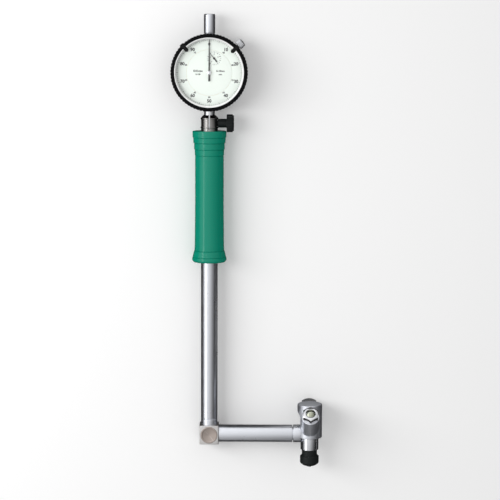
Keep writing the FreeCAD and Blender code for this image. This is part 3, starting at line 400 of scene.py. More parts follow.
def makeKnurlTree():
    # presses grooves into the rim of a turned piece
    tree, given, out = newTree("knurledRim", "GeometryNodeTree", [
        ("Geometry", "NodeSocketGeometry", None),
        ("Count", "NodeSocketInt", 24),
        ("Depth", "NodeSocketFloat", 0.3),
        ("Groove Share", "NodeSocketFloat", 0.5),
        ("From Radius", "NodeSocketFloat", 5.0),
        ("Rim Radius", "NodeSocketFloat", 6.0),
        ("From Height", "NodeSocketFloat", -1000.0),
        ("Material", "NodeSocketMaterial", None),
    ], [("Geometry", "NodeSocketGeometry")])
    where = add(tree, "GeometryNodeInputPosition").outputs[0]
    parts = add(tree, "ShaderNodeSeparateXYZ", {0: where})
    flat = axes(tree, parts.outputs[0], parts.outputs[1])
    radius = add(tree, "ShaderNodeVectorMath", {0: flat}, operation="LENGTH").outputs["Value"]
    outwards = add(tree, "ShaderNodeVectorMath", {0: flat}, operation="NORMALIZE").outputs[0]
    turn = sums(tree, "DIVIDE", sums(tree, "ARCTAN2", parts.outputs[1], parts.outputs[0]), math.tau)
    phase = sums(tree, "FRACT", sums(tree, "MULTIPLY_ADD", turn, given.outputs["Count"], 1000.5))
    off = sums(tree, "ABSOLUTE", sums(tree, "SUBTRACT", phase, 0.5))
    share = sums(tree, "MULTIPLY", given.outputs["Groove Share"], 0.5)
    groove = sums(tree, "MAXIMUM", sums(tree, "SUBTRACT", 1.0, sums(tree, "DIVIDE", off, share)), 0.0)
    rim = add(tree, "ShaderNodeMapRange", {
        0: radius, 1: given.outputs["From Radius"], 2: given.outputs["Rim Radius"],
    })
    high = sums(tree, "GREATER_THAN", parts.outputs[2], given.outputs["From Height"])
    deep = sums(tree, "MULTIPLY", sums(tree, "MULTIPLY", groove, rim.outputs[0]), given.outputs["Depth"])
    deep = sums(tree, "MULTIPLY", sums(tree, "MULTIPLY", deep, high), -1.0)
    press = add(tree, "ShaderNodeVectorMath", {0: outwards, "Scale": deep}, operation="SCALE").outputs[0]
    pressed = add(tree, "GeometryNodeSetPosition", {0: given.outputs["Geometry"], "Offset": press})
    return closeTree(tree, given, out, pressed)


def makeScrewTree():
    # copies of one screw head round a circle, each turned a little differently
    tree, given, out = newTree("screwCircle", "GeometryNodeTree", [
        ("Geometry", "NodeSocketGeometry", None),
        ("Count", "NodeSocketInt", 4),
        ("Radius", "NodeSocketFloat", 10.0),
        ("First Angle", "NodeSocketFloat", 0.0),
        ("Seed", "NodeSocketInt", 3),
        ("Material", "NodeSocketMaterial", None),
    ], [("Geometry", "NodeSocketGeometry")])
    placed = pointCircle(tree, given, "COSINE", "SINE")[0]
    chance = add(tree, "FunctionNodeRandomValue", {"Seed": given.outputs["Seed"]}, data_type="FLOAT")
    spin = axes(tree, z=sums(tree, "MULTIPLY", chance.outputs[1], math.pi))
    ring = add(tree, "GeometryNodeInstanceOnPoints", {
        "Points": placed, "Instance": given.outputs["Geometry"], "Rotation": spin,
    })
    return closeTree(tree, given, out, ring)


marksTree = makeMarksTree()
knurlTree = makeKnurlTree()
screwTree = makeScrewTree()
print("geometry trees made")


# shader groups

def makeTurnedLines():
    # fine rings left by the lathe, from the piece's own turning coordinates in mm
    tree, given, out = newTree("turnedLines", "ShaderNodeTree", [
        ("Vector", "NodeSocketVector", None),
        ("Lines Per mm", "NodeSocketFloat", 6.0),
    ], [("Height", "NodeSocketFloat"), ("Shade", "NodeSocketFloat")])
    parts = add(tree, "ShaderNodeSeparateXYZ", {0: given.outputs["Vector"]})
    flat = axes(tree, parts.outputs[0], parts.outputs[1])
    radius = add(tree, "ShaderNodeVectorMath", {0: flat}, operation="LENGTH").outputs["Value"]
    section = axes(tree, radius, parts.outputs[2])
    scaled = add(tree, "ShaderNodeVectorMath", {0: section, "Scale": given.outputs["Lines Per mm"]},
                 operation="SCALE")
    fine = add(tree, "ShaderNodeTexNoise", {"Vector": scaled.outputs[0], "Scale": 1.0, "Detail": 2.0})
    slow = add(tree, "ShaderNodeTexNoise", {"Vector": section, "Scale": 0.35, "Detail": 3.0})
    tree.links.new(fine.outputs[0], out.inputs["Height"])
    tree.links.new(slow.outputs[0], out.inputs["Shade"])
    return tree


def makeHandling():
    # faint smears and specks that come from handling
    tree, given, out = newTree("handling", "ShaderNodeTree", [
        ("Vector", "NodeSocketVector", None),
        ("Size mm", "NodeSocketFloat", 8.0),
    ], [("Smear", "NodeSocketFloat"), ("Speck", "NodeSocketFloat")])
    scale = sums(tree, "DIVIDE", 1.0, given.outputs["Size mm"])
    smear = add(tree, "ShaderNodeTexNoise", {
        "Vector": given.outputs["Vector"], "Scale": scale, "Detail": 4.0, "Roughness": 0.6,
        "Distortion": 0.6,
    })
    speck = add(tree, "ShaderNodeTexNoise", {
        "Vector": given.outputs["Vector"], "Scale": sums(tree, "MULTIPLY", scale, 22.0), "Detail": 1.0,
    })
    spots = add(tree, "ShaderNodeMapRange", {0: speck.outputs[0], 1: 0.62, 2: 0.74})
    tree.links.new(smear.outputs[0], out.inputs["Smear"])
    tree.links.new(spots.outputs[0], out.inputs["Speck"])
    return tree


def makeEdgeWear():
    # outer edges made lighter where the surface bends outwards, partly rubbed wear and partly painted
    # highlight, broken up by noise
    tree, given, out = newTree("edgeWearAndHighlight", "ShaderNodeTree", [
        ("Vector", "NodeSocketVector", None),
        ("Reach", "NodeSocketFloat", 0.54),
    ], [("Edge", "NodeSocketFloat")])
    bend = add(tree, "ShaderNodeNewGeometry").outputs["Pointiness"]
    noise = add(
        tree, "ShaderNodeTexNoise", {"Vector": given.outputs["Vector"], "Scale": 1.4, "Detail": 3.0},
    )
    rough = sums(tree, "MULTIPLY_ADD", noise.outputs[0], 0.04, -0.02)
    edge = add(tree, "ShaderNodeMapRange", {
        0: sums(tree, "ADD", bend, rough), 1: given.outputs["Reach"],
        2: sums(tree, "ADD", given.outputs["Reach"], 0.06),
    })
    tree.links.new(edge.outputs[0], out.inputs["Edge"])
    return tree


turnedLines = makeTurnedLines()
handling = makeHandling()
edgeWearAndHighlight = makeEdgeWear()


def blank(name):
    material = bpy.data.materials.new(name)
    material.use_nodes = True
    tree = material.node_tree
    shader = tree.nodes["Principled BSDF"]
    return material, tree, shader


def placeGroup(tree, which, values):
    node = tree.nodes.new("ShaderNodeGroup")
    node.node_tree = which
    for key, value in values.items():
        feed(tree, node.inputs[key], value)
    return node


def mixed(tree, share, first, second):
    # colour mix; first and second are colours or sockets
    node = add(tree, "ShaderNodeMix", {}, data_type="RGBA")
    feed(tree, node.inputs[0], share)
    for key, colour in ((6, first), (7, second)):
        plain = not isinstance(colour, bpy.types.NodeSocket)
        feed(tree, node.inputs[key], (*colour, 1) if plain else colour)
    return node.outputs[2]


def coordinates(tree, onPiece):
    # turning coordinates of a made piece, or the gauge's own frame in mm for a CAD node
    if onPiece:
        return add(tree, "ShaderNodeAttribute", attribute_name="turned").outputs["Vector"]
    place = add(tree, "ShaderNodeTexCoord").outputs["Object"]
    back = gaugeInMm.inverted()
    where, turn, scale = back.decompose()
    mapping = add(tree, "ShaderNodeMapping", {
        "Vector": place, "Location": where, "Rotation": turn.to_euler(), "Scale": scale,
    })
    return mapping.outputs[0]


def finishOf(name, look, onPiece=True):
    # metal with lathe lines where the look names them, otherwise plastic, enamel or ink with a fine skin;
    # both have smears in the gloss, and outer edges made lighter, partly rubbed wear and partly painted
    # highlight
    material, tree, shader = blank(name)
    where = coordinates(tree, onPiece)
    marks = placeGroup(tree, handling, {"Vector": where, "Size mm": look["smearSize"]})
    wornAndLit = placeGroup(tree, edgeWearAndHighlight, {"Vector": where, "Reach": look["wearAndHighlightFrom"]})
    low, high = look["roughness"]
    gloss = add(tree, "ShaderNodeMapRange", {0: marks.outputs["Smear"], 1: 0.3, 2: 0.7, 3: low, 4: high})
    gloss = gloss.outputs[0]
    if "lines" in look:
        lines = placeGroup(tree, turnedLines, {"Vector": where, "Lines Per mm": look["lines"]})
        skin = lines.outputs["Height"]
        gloss = sums(tree, "MULTIPLY_ADD", skin, look["lineGloss"], gloss)
        share = sums(tree, "MULTIPLY", lines.outputs["Shade"], look["shading"])
        shade = [part * look["shadeShare"] for part in look["colour"]]
        shader.inputs["Metallic"].default_value = look["metallic"]
    else:
        skin = add(tree, "ShaderNodeTexNoise", {"Vector": where, "Scale": look["skinScale"], "Detail": 3.0})
        skin = skin.outputs[0]
        share = sums(tree, "MULTIPLY", marks.outputs["Smear"], look["mottle"])
        shade = look["shade"]
    colour = mixed(tree, share, look["colour"], shade)
    # outer edges turn towards the lighter colour: rubbed wear and painted highlight together
    colour = mixed(
        tree, sums(tree, "MULTIPLY", wornAndLit.outputs["Edge"], look["wearAndHighlight"]), colour, look["wornAndHighlightColour"],
    )
    tree.links.new(colour, shader.inputs["Base Color"])
    tree.links.new(gloss, shader.inputs["Roughness"])
    shader.inputs["Specular IOR Level"].default_value = look["specular"]
    bump = add(tree, "ShaderNodeBump", {"Height": skin, "Strength": look["bump"], "Distance": 0.02 * mm})
    tree.links.new(bump.outputs[0], shader.inputs["Normal"])
    return material


chromeLook = {
    "colour": (0.79, 0.81, 0.86), "wornAndHighlightColour": (0.92, 0.92, 0.93), "wearAndHighlight": 0.5, "wearAndHighlightFrom": 0.53,
    "metallic": 1.0, "roughness": (0.24, 0.32), "lineGloss": 0.05, "shading": 0.12, "shadeShare": 0.72,
    "lines": 7.0, "smearSize": 14.0, "bump": 0.12, "specular": 0.5,
}
steelLook = {
    **chromeLook, "colour": (0.70, 0.71, 0.74), "roughness": (0.13, 0.22), "bump": 0.08, "smearSize": 6.0,
}
hubLook = {**chromeLook, "colour": (0.70, 0.72, 0.77), "roughness": (0.36, 0.46), "smearSize": 6.0}
# the pins' olive tint is a painted reflection of the green grip in polished steel
pinGreenReflectionLook = {
    **chromeLook, "colour": (0.46, 0.48, 0.38), "roughness": (0.1, 0.16), "bump": 0.05, "smearSize": 3.0,
}
elbowLook = {
    **chromeLook, "colour": (0.66, 0.64, 0.62), "roughness": (0.3, 0.4), "lines": 4.0, "smearSize": 5.0,
    "shading": 0.25,
}
coverLook = {
    **chromeLook, "colour": (0.50, 0.43, 0.39), "wornAndHighlightColour": (0.75, 0.72, 0.7), "roughness": (0.26, 0.36),
    "lines": 9.0, "bump": 0.6, "shading": 0.3, "smearSize": 3.0,
}
collarLook = {
    **steelLook, "colour": (0.36, 0.35, 0.34), "wornAndHighlightColour": (0.6, 0.6, 0.6), "roughness": (0.12, 0.2),
}
ringLook = {
    **chromeLook, "colour": (0.93, 0.94, 0.93), "roughness": (0.3, 0.4), "metallic": 0.6, "smearSize": 5.0,
    "bump": 0.05,
}
oxideLook = {
    **chromeLook, "colour": (0.010, 0.012, 0.012), "wornAndHighlightColour": (0.08, 0.08, 0.085), "wearAndHighlight": 0.5,
    "wearAndHighlightFrom": 0.55, "metallic": 0.0, "roughness": (0.36, 0.5), "bump": 0.25, "shading": 0.3,
    "specular": 0.16,
}
tipLook = {**steelLook, "colour": (0.45, 0.45, 0.48), "roughness": (0.08, 0.14)}
bronzeLook = {
    **steelLook, "colour": (0.55, 0.36, 0.17), "wornAndHighlightColour": (0.7, 0.5, 0.3), "roughness": (0.25, 0.4),
}
brassLook = {
    **steelLook, "colour": (0.72, 0.53, 0.24), "wornAndHighlightColour": (0.85, 0.7, 0.4), "roughness": (0.22, 0.36),
}
springLook = {**steelLook, "colour": (0.42, 0.43, 0.46), "roughness": (0.18, 0.3)}
gripLook = {
    "colour": (0.0, 0.225, 0.145), "shade": (0.0, 0.18, 0.115), "mottle": 0.3,
    "wornAndHighlightColour": (0.04, 0.36, 0.27),
    "wearAndHighlight": 0.3, "wearAndHighlightFrom": 0.54, "roughness": (0.12, 0.2),
    "skinScale": 5.0, "bump": 0.12, "smearSize": 11.0, "specular": 0.35,
}
bezelLook = {
    **gripLook, "colour": (0.003, 0.003, 0.0035), "shade": (0.007, 0.007, 0.008),
    "wornAndHighlightColour": (0.03, 0.03, 0.03),
    "wearAndHighlight": 0.3, "roughness": (0.38, 0.5), "bump": 0.2, "skinScale": 9.0, "specular": 0.05,
}
caseLook = {
    **gripLook, "colour": (0.016, 0.016, 0.018), "shade": (0.03, 0.03, 0.033),
    "wornAndHighlightColour": (0.12, 0.12, 0.12),
    "roughness": (0.4, 0.55), "bump": 0.5, "skinScale": 4.0,
}
faceLook = {
    **gripLook, "colour": (0.88, 0.95, 0.885), "shade": (0.85, 0.925, 0.86), "mottle": 0.5,
    "wornAndHighlightColour": (0.88, 0.94, 0.88), "roughness": (0.45, 0.55), "bump": 0.1, "skinScale": 12.0,
}
inkLook = {
    **bezelLook, "colour": (0.012, 0.014, 0.014), "shade": (0.03, 0.032, 0.032), "roughness": (0.5, 0.6),
}
handLook = {**bezelLook, "colour": (0.006, 0.006, 0.006), "roughness": (0.3, 0.4)}

satinChrome = finishOf("satinChrome", chromeLook)
polishedSteel = finishOf("polishedSteel", steelLook)
hubSteel = finishOf("hubSteel", hubLook)
pinSteelGreenReflection = finishOf("pinSteelGreenReflection", pinGreenReflectionLook)
elbowSteel = finishOf("elbowSteel", elbowLook)
coverSteel = finishOf("coverSteel", coverLook)
collarNickel = finishOf("collarNickel", collarLook)
brightRing = finishOf("brightRing", ringLook)
blackOxide = finishOf("blackOxide", oxideLook)
hardTip = finishOf("hardTip", tipLook)
greenPlastic = finishOf("greenPlastic", gripLook)
bezelBlack = finishOf("bezelBlack", bezelLook)
caseEnamel = finishOf("caseEnamel", caseLook)
dialEnamel = finishOf("dialEnamel", faceLook)
dialInk = finishOf("dialInk", inkLook)
handEnamel = finishOf("handEnamel", handLook)
innerSteel = finishOf("innerSteel", steelLook, False)
innerBronze = finishOf("innerBronze", bronzeLook, False)
innerBrass = finishOf("innerBrass", brassLook, False)
innerSpring = finishOf("innerSpring", springLook, False)
print("finishes made")


# long tube and grip

tubeSize = {"edge": 0.55, "bore": 4.2}
tubeLow, tubeHigh = spanOf("main_tube")
tubeRadius = (tubeHigh.x - tubeLow.x) / 2
tube = lathe("longTube", [
    (tubeSize["bore"], tubeLow.y),
    (tubeRadius - tubeSize["edge"], tubeLow.y),
    (tubeRadius, tubeLow.y + tubeSize["edge"], 0.1),
    (tubeRadius, tubeHigh.y, 0.2),
    (tubeSize["bore"], tubeHigh.y),
], 128)
settle(tube, onTube, "root", satinChrome, "main_tube", slot="satin_chrome")

gripSize = {
    "barrel": 10.65, "bore": 6.3, "grooveDeep": 0.35, "grooveHalf": 0.25,
    # upper groove of each ring from the foot or the top, radius over the barrel at its foot and its head
    "footRings": [(3.7, 2.3, 2.15), (8.5, 1.8, 0.85)],
    "topRings": [
        (-18.5, 0.5, 0.0), (-13.9, 0.15, 0.35), (-9.2, 0.75, 0.75), (-5.1, 1.25, 1.5), (0.0, 1.85, 2.1),
    ],
}
gripLow, gripHigh = spanOf("grip")
foot, top = gripLow.y, gripHigh.y
barrel = gripSize["barrel"]
rings = [(foot + head, low, high) for head, low, high in gripSize["footRings"]]
rings += [(top + head, low, high) for head, low, high in gripSize["topRings"]]
outline = [(gripSize["bore"], foot), (barrel + 1.05, foot, 0.5)]
ringFoot = foot + 1.45
for index, (head, lowOver, highOver) in enumerate(rings):
    outline.append((barrel + lowOver, ringFoot, 0.7 if index == 0 else 0.2))
    if index == 2:
        outline.append((barrel + 0.3, foot + 13, 8))
        outline.append((barrel, foot + 44, 40))
    if index == len(rings) - 1:
        outline.append((barrel + highOver, head, 0.9))
        break
    outline.append((barrel + highOver, head - gripSize["grooveHalf"], 0.2))
    floor = min(highOver, rings[index + 1][1])
    outline.append((barrel + floor - gripSize["grooveDeep"], head, 0.08))
    ringFoot = head + gripSize["grooveHalf"]
outline.append((gripSize["bore"], top))
settle(lathe("grip", outline, 144), onTube, "root", greenPlastic, "grip", slot="grip_plastic")
print("tube and grip made")


# clamp collar, thumb screw, stem and spindle cap

collarSize = {
    "body": 6.25, "lip": 6.6, "lipFrom": 2.0, "lipTo": 2.9, "coneFrom": 2.2, "upperLip": 0.8,
    "coneTop": 4.7, "bore": 4.06, "slit": 1.0, "slitFoot": 231.0, "screwHole": 2.1, "spot": 3.45,
}
collarHigh = spanOf("clamp_collar")[1]
screwLow, screwHigh = spanOf("clamp_screw")
screwAt = (screwLow.y + screwHigh.y) / 2
cone = collarHigh.y - collarSize["coneFrom"]
collar = lathe("clampCollar", [
    (collarSize["bore"], top + 0.02),
    (collarSize["body"], top + 0.02),
    (collarSize["body"], top + collarSize["lipFrom"], 0.1),
    (collarSize["lip"], top + collarSize["lipFrom"], 0.15),
    (collarSize["lip"], top + collarSize["lipTo"], 0.15),
    (collarSize["body"], top + collarSize["lipTo"], 0.1),
    (collarSize["body"], cone - collarSize["upperLip"], 0.1),
    (collarSize["lip"], cone - collarSize["upperLip"], 0.15),
    (collarSize["lip"], cone, 0.3),
    (collarSize["coneTop"], collarHigh.y, 0.15),
    (collarSize["bore"], collarHigh.y, 0.1),
], 128)
half = collarSize["slit"] / 2
slitLow = (-half, -collarSize["lip"] - 1, collarSize["slitFoot"])
carve(collar, brick("slitTool", slitLow, (half, 0, collarHigh.y + 1)))
sideways = axisAt(along=(1, 0, 0), across=(0, 0, 1))
spot = lathe("spotTool", [
    (0, 1.0),
    (collarSize["screwHole"], 1.0),
    (collarSize["screwHole"], collarSize["body"] - 0.1),
    (collarSize["spot"], collarSize["body"] - 0.1),
    (collarSize["spot"], 9.0),
    (0, 9.0),
], 64)
# the tool lies along the gauge's X, the collar stands along its Y
carve(collar, shifted(spot, onTube.inverted() @ Matrix.Translation((0, screwAt, 0)) @ sideways))
settle(collar, onTube, "root", collarNickel, "clamp_collar", slot="polished_steel")

knobSize = {"shank": 2.0, "neck": 3.3, "knob": 6.65, "knobFrom": 12.8, "grooves": 32, "deep": 0.3}
knobEnd = screwHigh.x
screw = lathe("thumbScrew", [
    (0, screwLow.x),
    (knobSize["shank"], screwLow.x, 0.4),
    (knobSize["shank"], collarSize["body"] + 0.05),
    (knobSize["neck"], collarSize["body"] + 0.05, 0.2),
    (knobSize["neck"], knobSize["knobFrom"], 0.2),
    (knobSize["knob"], knobSize["knobFrom"], 0.5),
    (knobSize["knob"], knobEnd - 0.9, 0.3),
    (knobSize["knob"] - 0.7, knobEnd - 0.9, 0.15),
    (knobSize["knob"] - 0.9, knobEnd, 0.3),
    (0, knobEnd),
], 8 * knobSize["grooves"])
grow(screw, knurlTree, {
    "Count": knobSize["grooves"], "Depth": knobSize["deep"], "Groove Share": 0.7,
    "From Radius": knobSize["knob"] - 0.5, "Rim Radius": knobSize["knob"] - 0.1,
    "From Height": knobSize["knobFrom"] - 1, "Material": blackOxide,
})
settle(
    screw, axisAt(y=screwAt, along=(1, 0, 0), across=(0, 0, 1)), "thumb_screw", blackOxide, "clamp_screw",
    slot="black_steel",
)

stemSize = {"bore": 2.45, "edge": 0.4}
stemLow, stemHigh = spanOf("stem")
stemRadius = (stemHigh.x - stemLow.x) / 2
stem = lathe("indicatorStem", [
    (stemSize["bore"], stemLow.y),
    (stemRadius, stemLow.y, stemSize["edge"]),
    (stemRadius, stemHigh.y),
    (stemSize["bore"], stemHigh.y),
], 96)
settle(stem, onTube, "indicator", polishedSteel, "stem", slot="polished_steel")

capSize = {"neck": 3.8, "neckTop": 302.0, "edge": 1.0, "bore": 2.8, "wall": 1.4, "foot": 3.4}
capLow, capHigh = spanOf("spindle_cap")
capRadius = (capHigh.x - capLow.x) / 2
cap = lathe("spindleCap", [
    (0, capHigh.y - capSize["wall"]),
    (capSize["bore"], capHigh.y - capSize["wall"]),
    (capSize["bore"], capSize["neckTop"]),
    (capSize["foot"], capSize["neckTop"]),
    (capSize["foot"], capLow.y),
    (capSize["neck"], capLow.y),
    (capSize["neck"], capSize["neckTop"], 0.15),
    (capRadius, capSize["neckTop"], 0.2),
    (capRadius, capHigh.y, capSize["edge"]),
    (0, capHigh.y),
], 96)
settle(cap, onTube, "indicator", satinChrome, "spindle_cap", slot="polished_steel")
print("collar, thumb screw, stem and cap made")


# elbow and short arm

elbowSize = {
    "half": 7.25, "edge": 0.35, "chamber": 6.42, "neckEdge": 0.6, "spigot": 6.0,
    "coverRim": 1.1, "coverDish": 0.35, "coverProud": 0.25, "coverDeep": 2.0,
}
half = elbowSize["half"]
block = brick("elbowBlock", (-half,) * 3, (half,) * 3, elbowSize["edge"])
neck = lathe("neckTool", [
    (0, 0), (tubeRadius, 0), (tubeRadius, tubeLow.y, elbowSize["neckEdge"]), (0, tubeLow.y),
], 96)
carve(block, shifted(neck, onTube), "UNION")
for way, radius, reach in ((onTube, 4.15, tubeLow.y), (onArm, 4.2, half)):
    carve(block, shifted(rod(radius, 0, reach + elbowSize["spigot"]), way), "UNION")
drill(block, Matrix(), elbowSize["chamber"], -half - 1, half + 1, 128)
for way in (onTube, onArm):
    drill(block, way, rodWayRadius, 0, 20, 48)
settle(block, Matrix(), "root", elbowSteel, "elbow_block", slot="elbow_steel")
block.data.materials.append(satinChrome)  # the round neck is plated like the tube
toGauge = gaugeInMm.inverted()
for face in block.data.polygons:
    if (toGauge @ face.center).y > half + 0.05:
        face.material_index = 1

rim = elbowSize["chamber"] - 0.03
proud = half + elbowSize["coverProud"]
for name, direction, node in (
    ("coverFront", 1, "elbow_cover_front"), ("coverBack", -1, "elbow_cover_back"),
):
    cover = lathe(name, [
        (0, half - elbowSize["coverDeep"]),
        (rim, half - elbowSize["coverDeep"]),
        (rim, proud, 0.3),
        (rim - elbowSize["coverRim"], proud, 0.12),
        (rim - elbowSize["coverRim"] - 0.3, proud - elbowSize["coverDish"], 0.12),
        (0.5, proud - 0.72, 0.2),
        (0, proud - 0.8),
    ], 128)
    settle(cover, axisAt(along=(0, 0, direction)), "root", coverSteel, node, slot="elbow_steel")

armSize = {"edge": 0.3, "bore": 4.25, "collarStep": 0.8, "collarWaist": 5.0}
armLow, armHigh = spanOf("arm_tube")
armRadius = (armHigh.y - armLow.y) / 2
arm = lathe("shortArm", [
    (armSize["bore"], armLow.x),
    (armRadius, armLow.x, armSize["edge"]),
    (armRadius, armHigh.x, armSize["edge"]),
    (armSize["bore"], armHigh.x),
], 128)
settle(arm, onArm, "root", satinChrome, "arm_tube", slot="satin_chrome")
bandLow, bandHigh = spanOf("arm_collar")
bandRadius = (bandHigh.y - bandLow.y) / 2
band = lathe("armCollar", [
    (armSize["bore"], bandLow.x),
    (armSize["collarWaist"], bandLow.x),
    (armSize["collarWaist"], bandLow.x + armSize["collarStep"]),
    (bandRadius, bandLow.x + armSize["collarStep"], 0.25),
    (bandRadius, bandHigh.x, 0.15),
    (armSize["bore"], bandHigh.x),
], 128)
settle(band, onArm, "root", satinChrome, "arm_collar", slot="polished_steel")
print("elbow and arm made")


# measuring head: hub, bosses, nuts, centring pins, sleeve and plunger

headSize = {
    "hub": 9.4, "top": 23.1, "foot": -2.6, "boss": 6.8, "seat": 23.4, "flat": 69.6, "flatTop": 9.7,
    "hollow": 11.6, "shoulder": 66.9, "shoulderTop": 17.7, "spigot": 4.22, "spigotFrom": 57.2,
    "spigotTo": 72.0, "socket": 6.2, "socketTop": 3.0,
    "chamber": 5.6, "chamberTop": 4.0, "pinHole": 3.5, "pinFoot": 12.0,
}
size = headSize
hub = lathe("headBody", [
    (0, size["foot"]), (size["hub"], size["foot"], 0.6), (size["hub"], size["top"], 0.8), (0, size["top"]),
], 192)
fromHub = onHead.inverted()
for space in (onFrontBoss, onRearBoss):
    boss = lathe(
        "bossTool", [(0, 0), (size["boss"], 0), (size["boss"], size["seat"], 0.5), (0, size["seat"])], 144,
    )
    carve(hub, shifted(boss, fromHub @ space), "UNION")
drill(hub, Matrix(), 20, size["foot"] - 20, size["foot"])
# relief towards the arm: a flat below and a hollow shoulder above it
start = Vector((size["flat"], size["flatTop"]))
stop = Vector((size["shoulder"], size["shoulderTop"]))
chord = stop - start
rise = math.sqrt(size["hollow"] ** 2 - (chord.length / 2) ** 2)
middle = (start + stop) / 2 + Vector((chord.y, -chord.x)).normalized() * -rise
fromAngle = math.atan2(start.y - middle.y, start.x - middle.x)
toAngle = math.atan2(stop.y - middle.y, stop.x - middle.x)
relief = [(size["flat"] - 12, size["foot"] - 3), (size["flat"], size["foot"] - 3)]
for step in range(17):
    angle = fromAngle + (toAngle - fromAngle) * step / 16
    relief.append(
        (middle.x + size["hollow"] * math.cos(angle), middle.y + size["hollow"] * math.sin(angle)),
    )
relief.append((size["flat"] - 12, size["shoulderTop"]))
carve(hub, shifted(plate("reliefTool", relief, -30, 30), fromHub))
spigot = rod(size["spigot"], size["spigotFrom"], size["spigotTo"])
carve(hub, shifted(spigot, fromHub @ onArm), "UNION")
hollowTool = lathe("hollowTool", [
    (0, size["foot"] - 1), (size["socket"], size["foot"] - 1), (size["socket"], size["socketTop"]),
    (size["chamber"], size["socketTop"]), (size["chamber"], size["chamberTop"]), (0, size["chamberTop"]),
], 96)
carve(hub, hollowTool)
drill(hub, fromHub @ onArm, rodWayRadius, 50, headX, 48)
for space in (onFrontBoss, onRearBoss):
    drill(hub, fromHub @ space, size["pinHole"], size["pinFoot"], 40, 96)
settle(hub, onHead, "root", hubSteel, "head_body", slot="polished_steel")

nutSize = {"flats": 11.0, "thick": 5.0, "pin": 3.45, "pinEnd": 29.8, "cone": 1.91}


def hexNut(name):
    # a six-sided nut with its outer corners turned off and a low washer face
    corner = nutSize["flats"] / 2 / math.cos(math.pi / 6)
    points = [
        (corner * math.cos(math.radians(90 + 60 * index)), corner * math.sin(math.radians(90 + 60 * index)))
        for index in range(6)
    ]
    seat = headSize["seat"]
    end = seat + nutSize["thick"] + 0.01
    bore = nutSize["pin"] + 0.06
    nut = plate(name, points, seat, seat + nutSize["thick"])
    envelope = lathe("nutTool", [
        (bore, seat - 1),
        (corner + 2, seat - 1),
        (corner + 2, end - nutSize["cone"]),
        (nutSize["flats"] / 2 - 0.35, end),
        (bore, end, 0.5),
    ], 144)
    carve(nut, envelope, "INTERSECT")
    return nut


for side, space in (("Front", onFrontBoss), ("Rear", onRearBoss)):
    lower = side.lower()
    settle(hexNut("nut" + side), space, "root", polishedSteel, "nut_" + lower, slot="polished_steel")
    pinFlat = headSize["seat"] + nutSize["thick"]
    pin = lathe("centringPin" + side, [
        (0, size["pinFoot"]), (nutSize["pin"], size["pinFoot"]),
        *crown(nutSize["pin"], pinFlat, nutSize["pinEnd"] - pinFlat),
    ], 96)
    settle(pin, space, "root", pinSteelGreenReflection, "centring_pin_" + lower, slot="polished_steel")

sleeveSize = {"bore": 5.85, "edge": 0.6, "spigot": 6.15, "spigotTop": 3.0, "inner": 5.62, "seat": -5.6}
sleeve = lathe("plungerSleeve", [
    (sleeveSize["bore"], headLow.y),
    (6.8, headLow.y, sleeveSize["edge"]),
    (6.8, headSize["foot"] - 0.02, 0.15),
    (sleeveSize["spigot"], headSize["foot"] - 0.02),
    (sleeveSize["spigot"], sleeveSize["spigotTop"]),
    (sleeveSize["inner"], sleeveSize["spigotTop"]),
    (sleeveSize["inner"], sleeveSize["seat"]),
    (sleeveSize["bore"], sleeveSize["seat"]),
], 128)
carve(sleeve, brick("notchTool", (-8, -rodWayRadius, headSize["foot"] - 0.1), (-3.4, rodWayRadius, 4)))
settle(sleeve, onHead, "root", polishedSteel, "sleeve", slot="polished_steel")

plungerSize = {
    "neck": 5.8, "foot": -16.5, "head": -8.0, "knob": 7.15, "knobFoot": -23.0, "end": -25.2, "tip": 1.6,
    "hollow": 4.9, "hollowFoot": -14.0, "stem": 2.6, "stemTop": -6.2, "nose": 1.0, "noseTop": -4.65,
    "sides": 160, "keyWay": ((-1.05, -7.5, -12.9), (1.05, -4.0, -9.5)),
}
size = plungerSize
plunger = lathe("plunger", [
    (0, size["end"] + 1),
    (size["tip"], size["end"] + 1),
    (size["tip"], size["end"], 0.1),
    (size["knob"] - 2.2, size["end"] + 0.85, 3.0),
    (size["knob"], size["knobFoot"] + 0.5, 1.2),
    (size["knob"], size["foot"] - 0.9, 0.5),
    (size["knob"] - 1.0, size["foot"], 0.3),
    (size["neck"], size["foot"], 0.1),
    (size["neck"], size["head"], 0.2),
    (size["hollow"], size["head"]),
    (size["hollow"], size["hollowFoot"]),
    (size["stem"], size["hollowFoot"]),
    (size["stem"], size["stemTop"], 0.1),
    (size["nose"], size["stemTop"]),
    (size["nose"], size["noseTop"], 0.1),
    (0, size["noseTop"]),
], size["sides"])
carve(plunger, brick("keyWayTool", *size["keyWay"]))
settle(plunger, onHead, "contact", blackOxide, "plunger", slot="black_steel")

tipLow, tipHigh = spanOf("contact_tip")
tip = lathe("contactTip", [
    (0, tipHigh.y),
    (size["tip"] - 0.02, tipHigh.y),
    (size["tip"] - 0.02, tipLow.y + 0.3, 0.3),
    (0.9, tipLow.y + 0.03, 0.6),
    (0, tipLow.y),
], 64)
settle(tip, onHead, "contact", hardTip, "contact_tip", slot="hard_tip")

# the plunger's spring keeps its CAD mesh, its doubled points merged
bm = bmesh.new()
bm.from_mesh(frame["nodes"]["plunger_spring"].data)
bmesh.ops.remove_doubles(bm, verts=bm.verts, dist=1e-8)
springMesh = bpy.data.meshes.new("plungerSpring")
bm.to_mesh(springMesh)
bm.free()
spring = bpy.data.objects.new("plungerSpring", springMesh)
scene.collection.objects.link(spring)
springMesh.shade_smooth()
springMesh.materials.clear()
springMesh.materials.append(innerSpring)
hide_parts("plunger_spring")
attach(spring, "root")
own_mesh(spring)
print("measuring head made")


# indicator case, back lid and screws

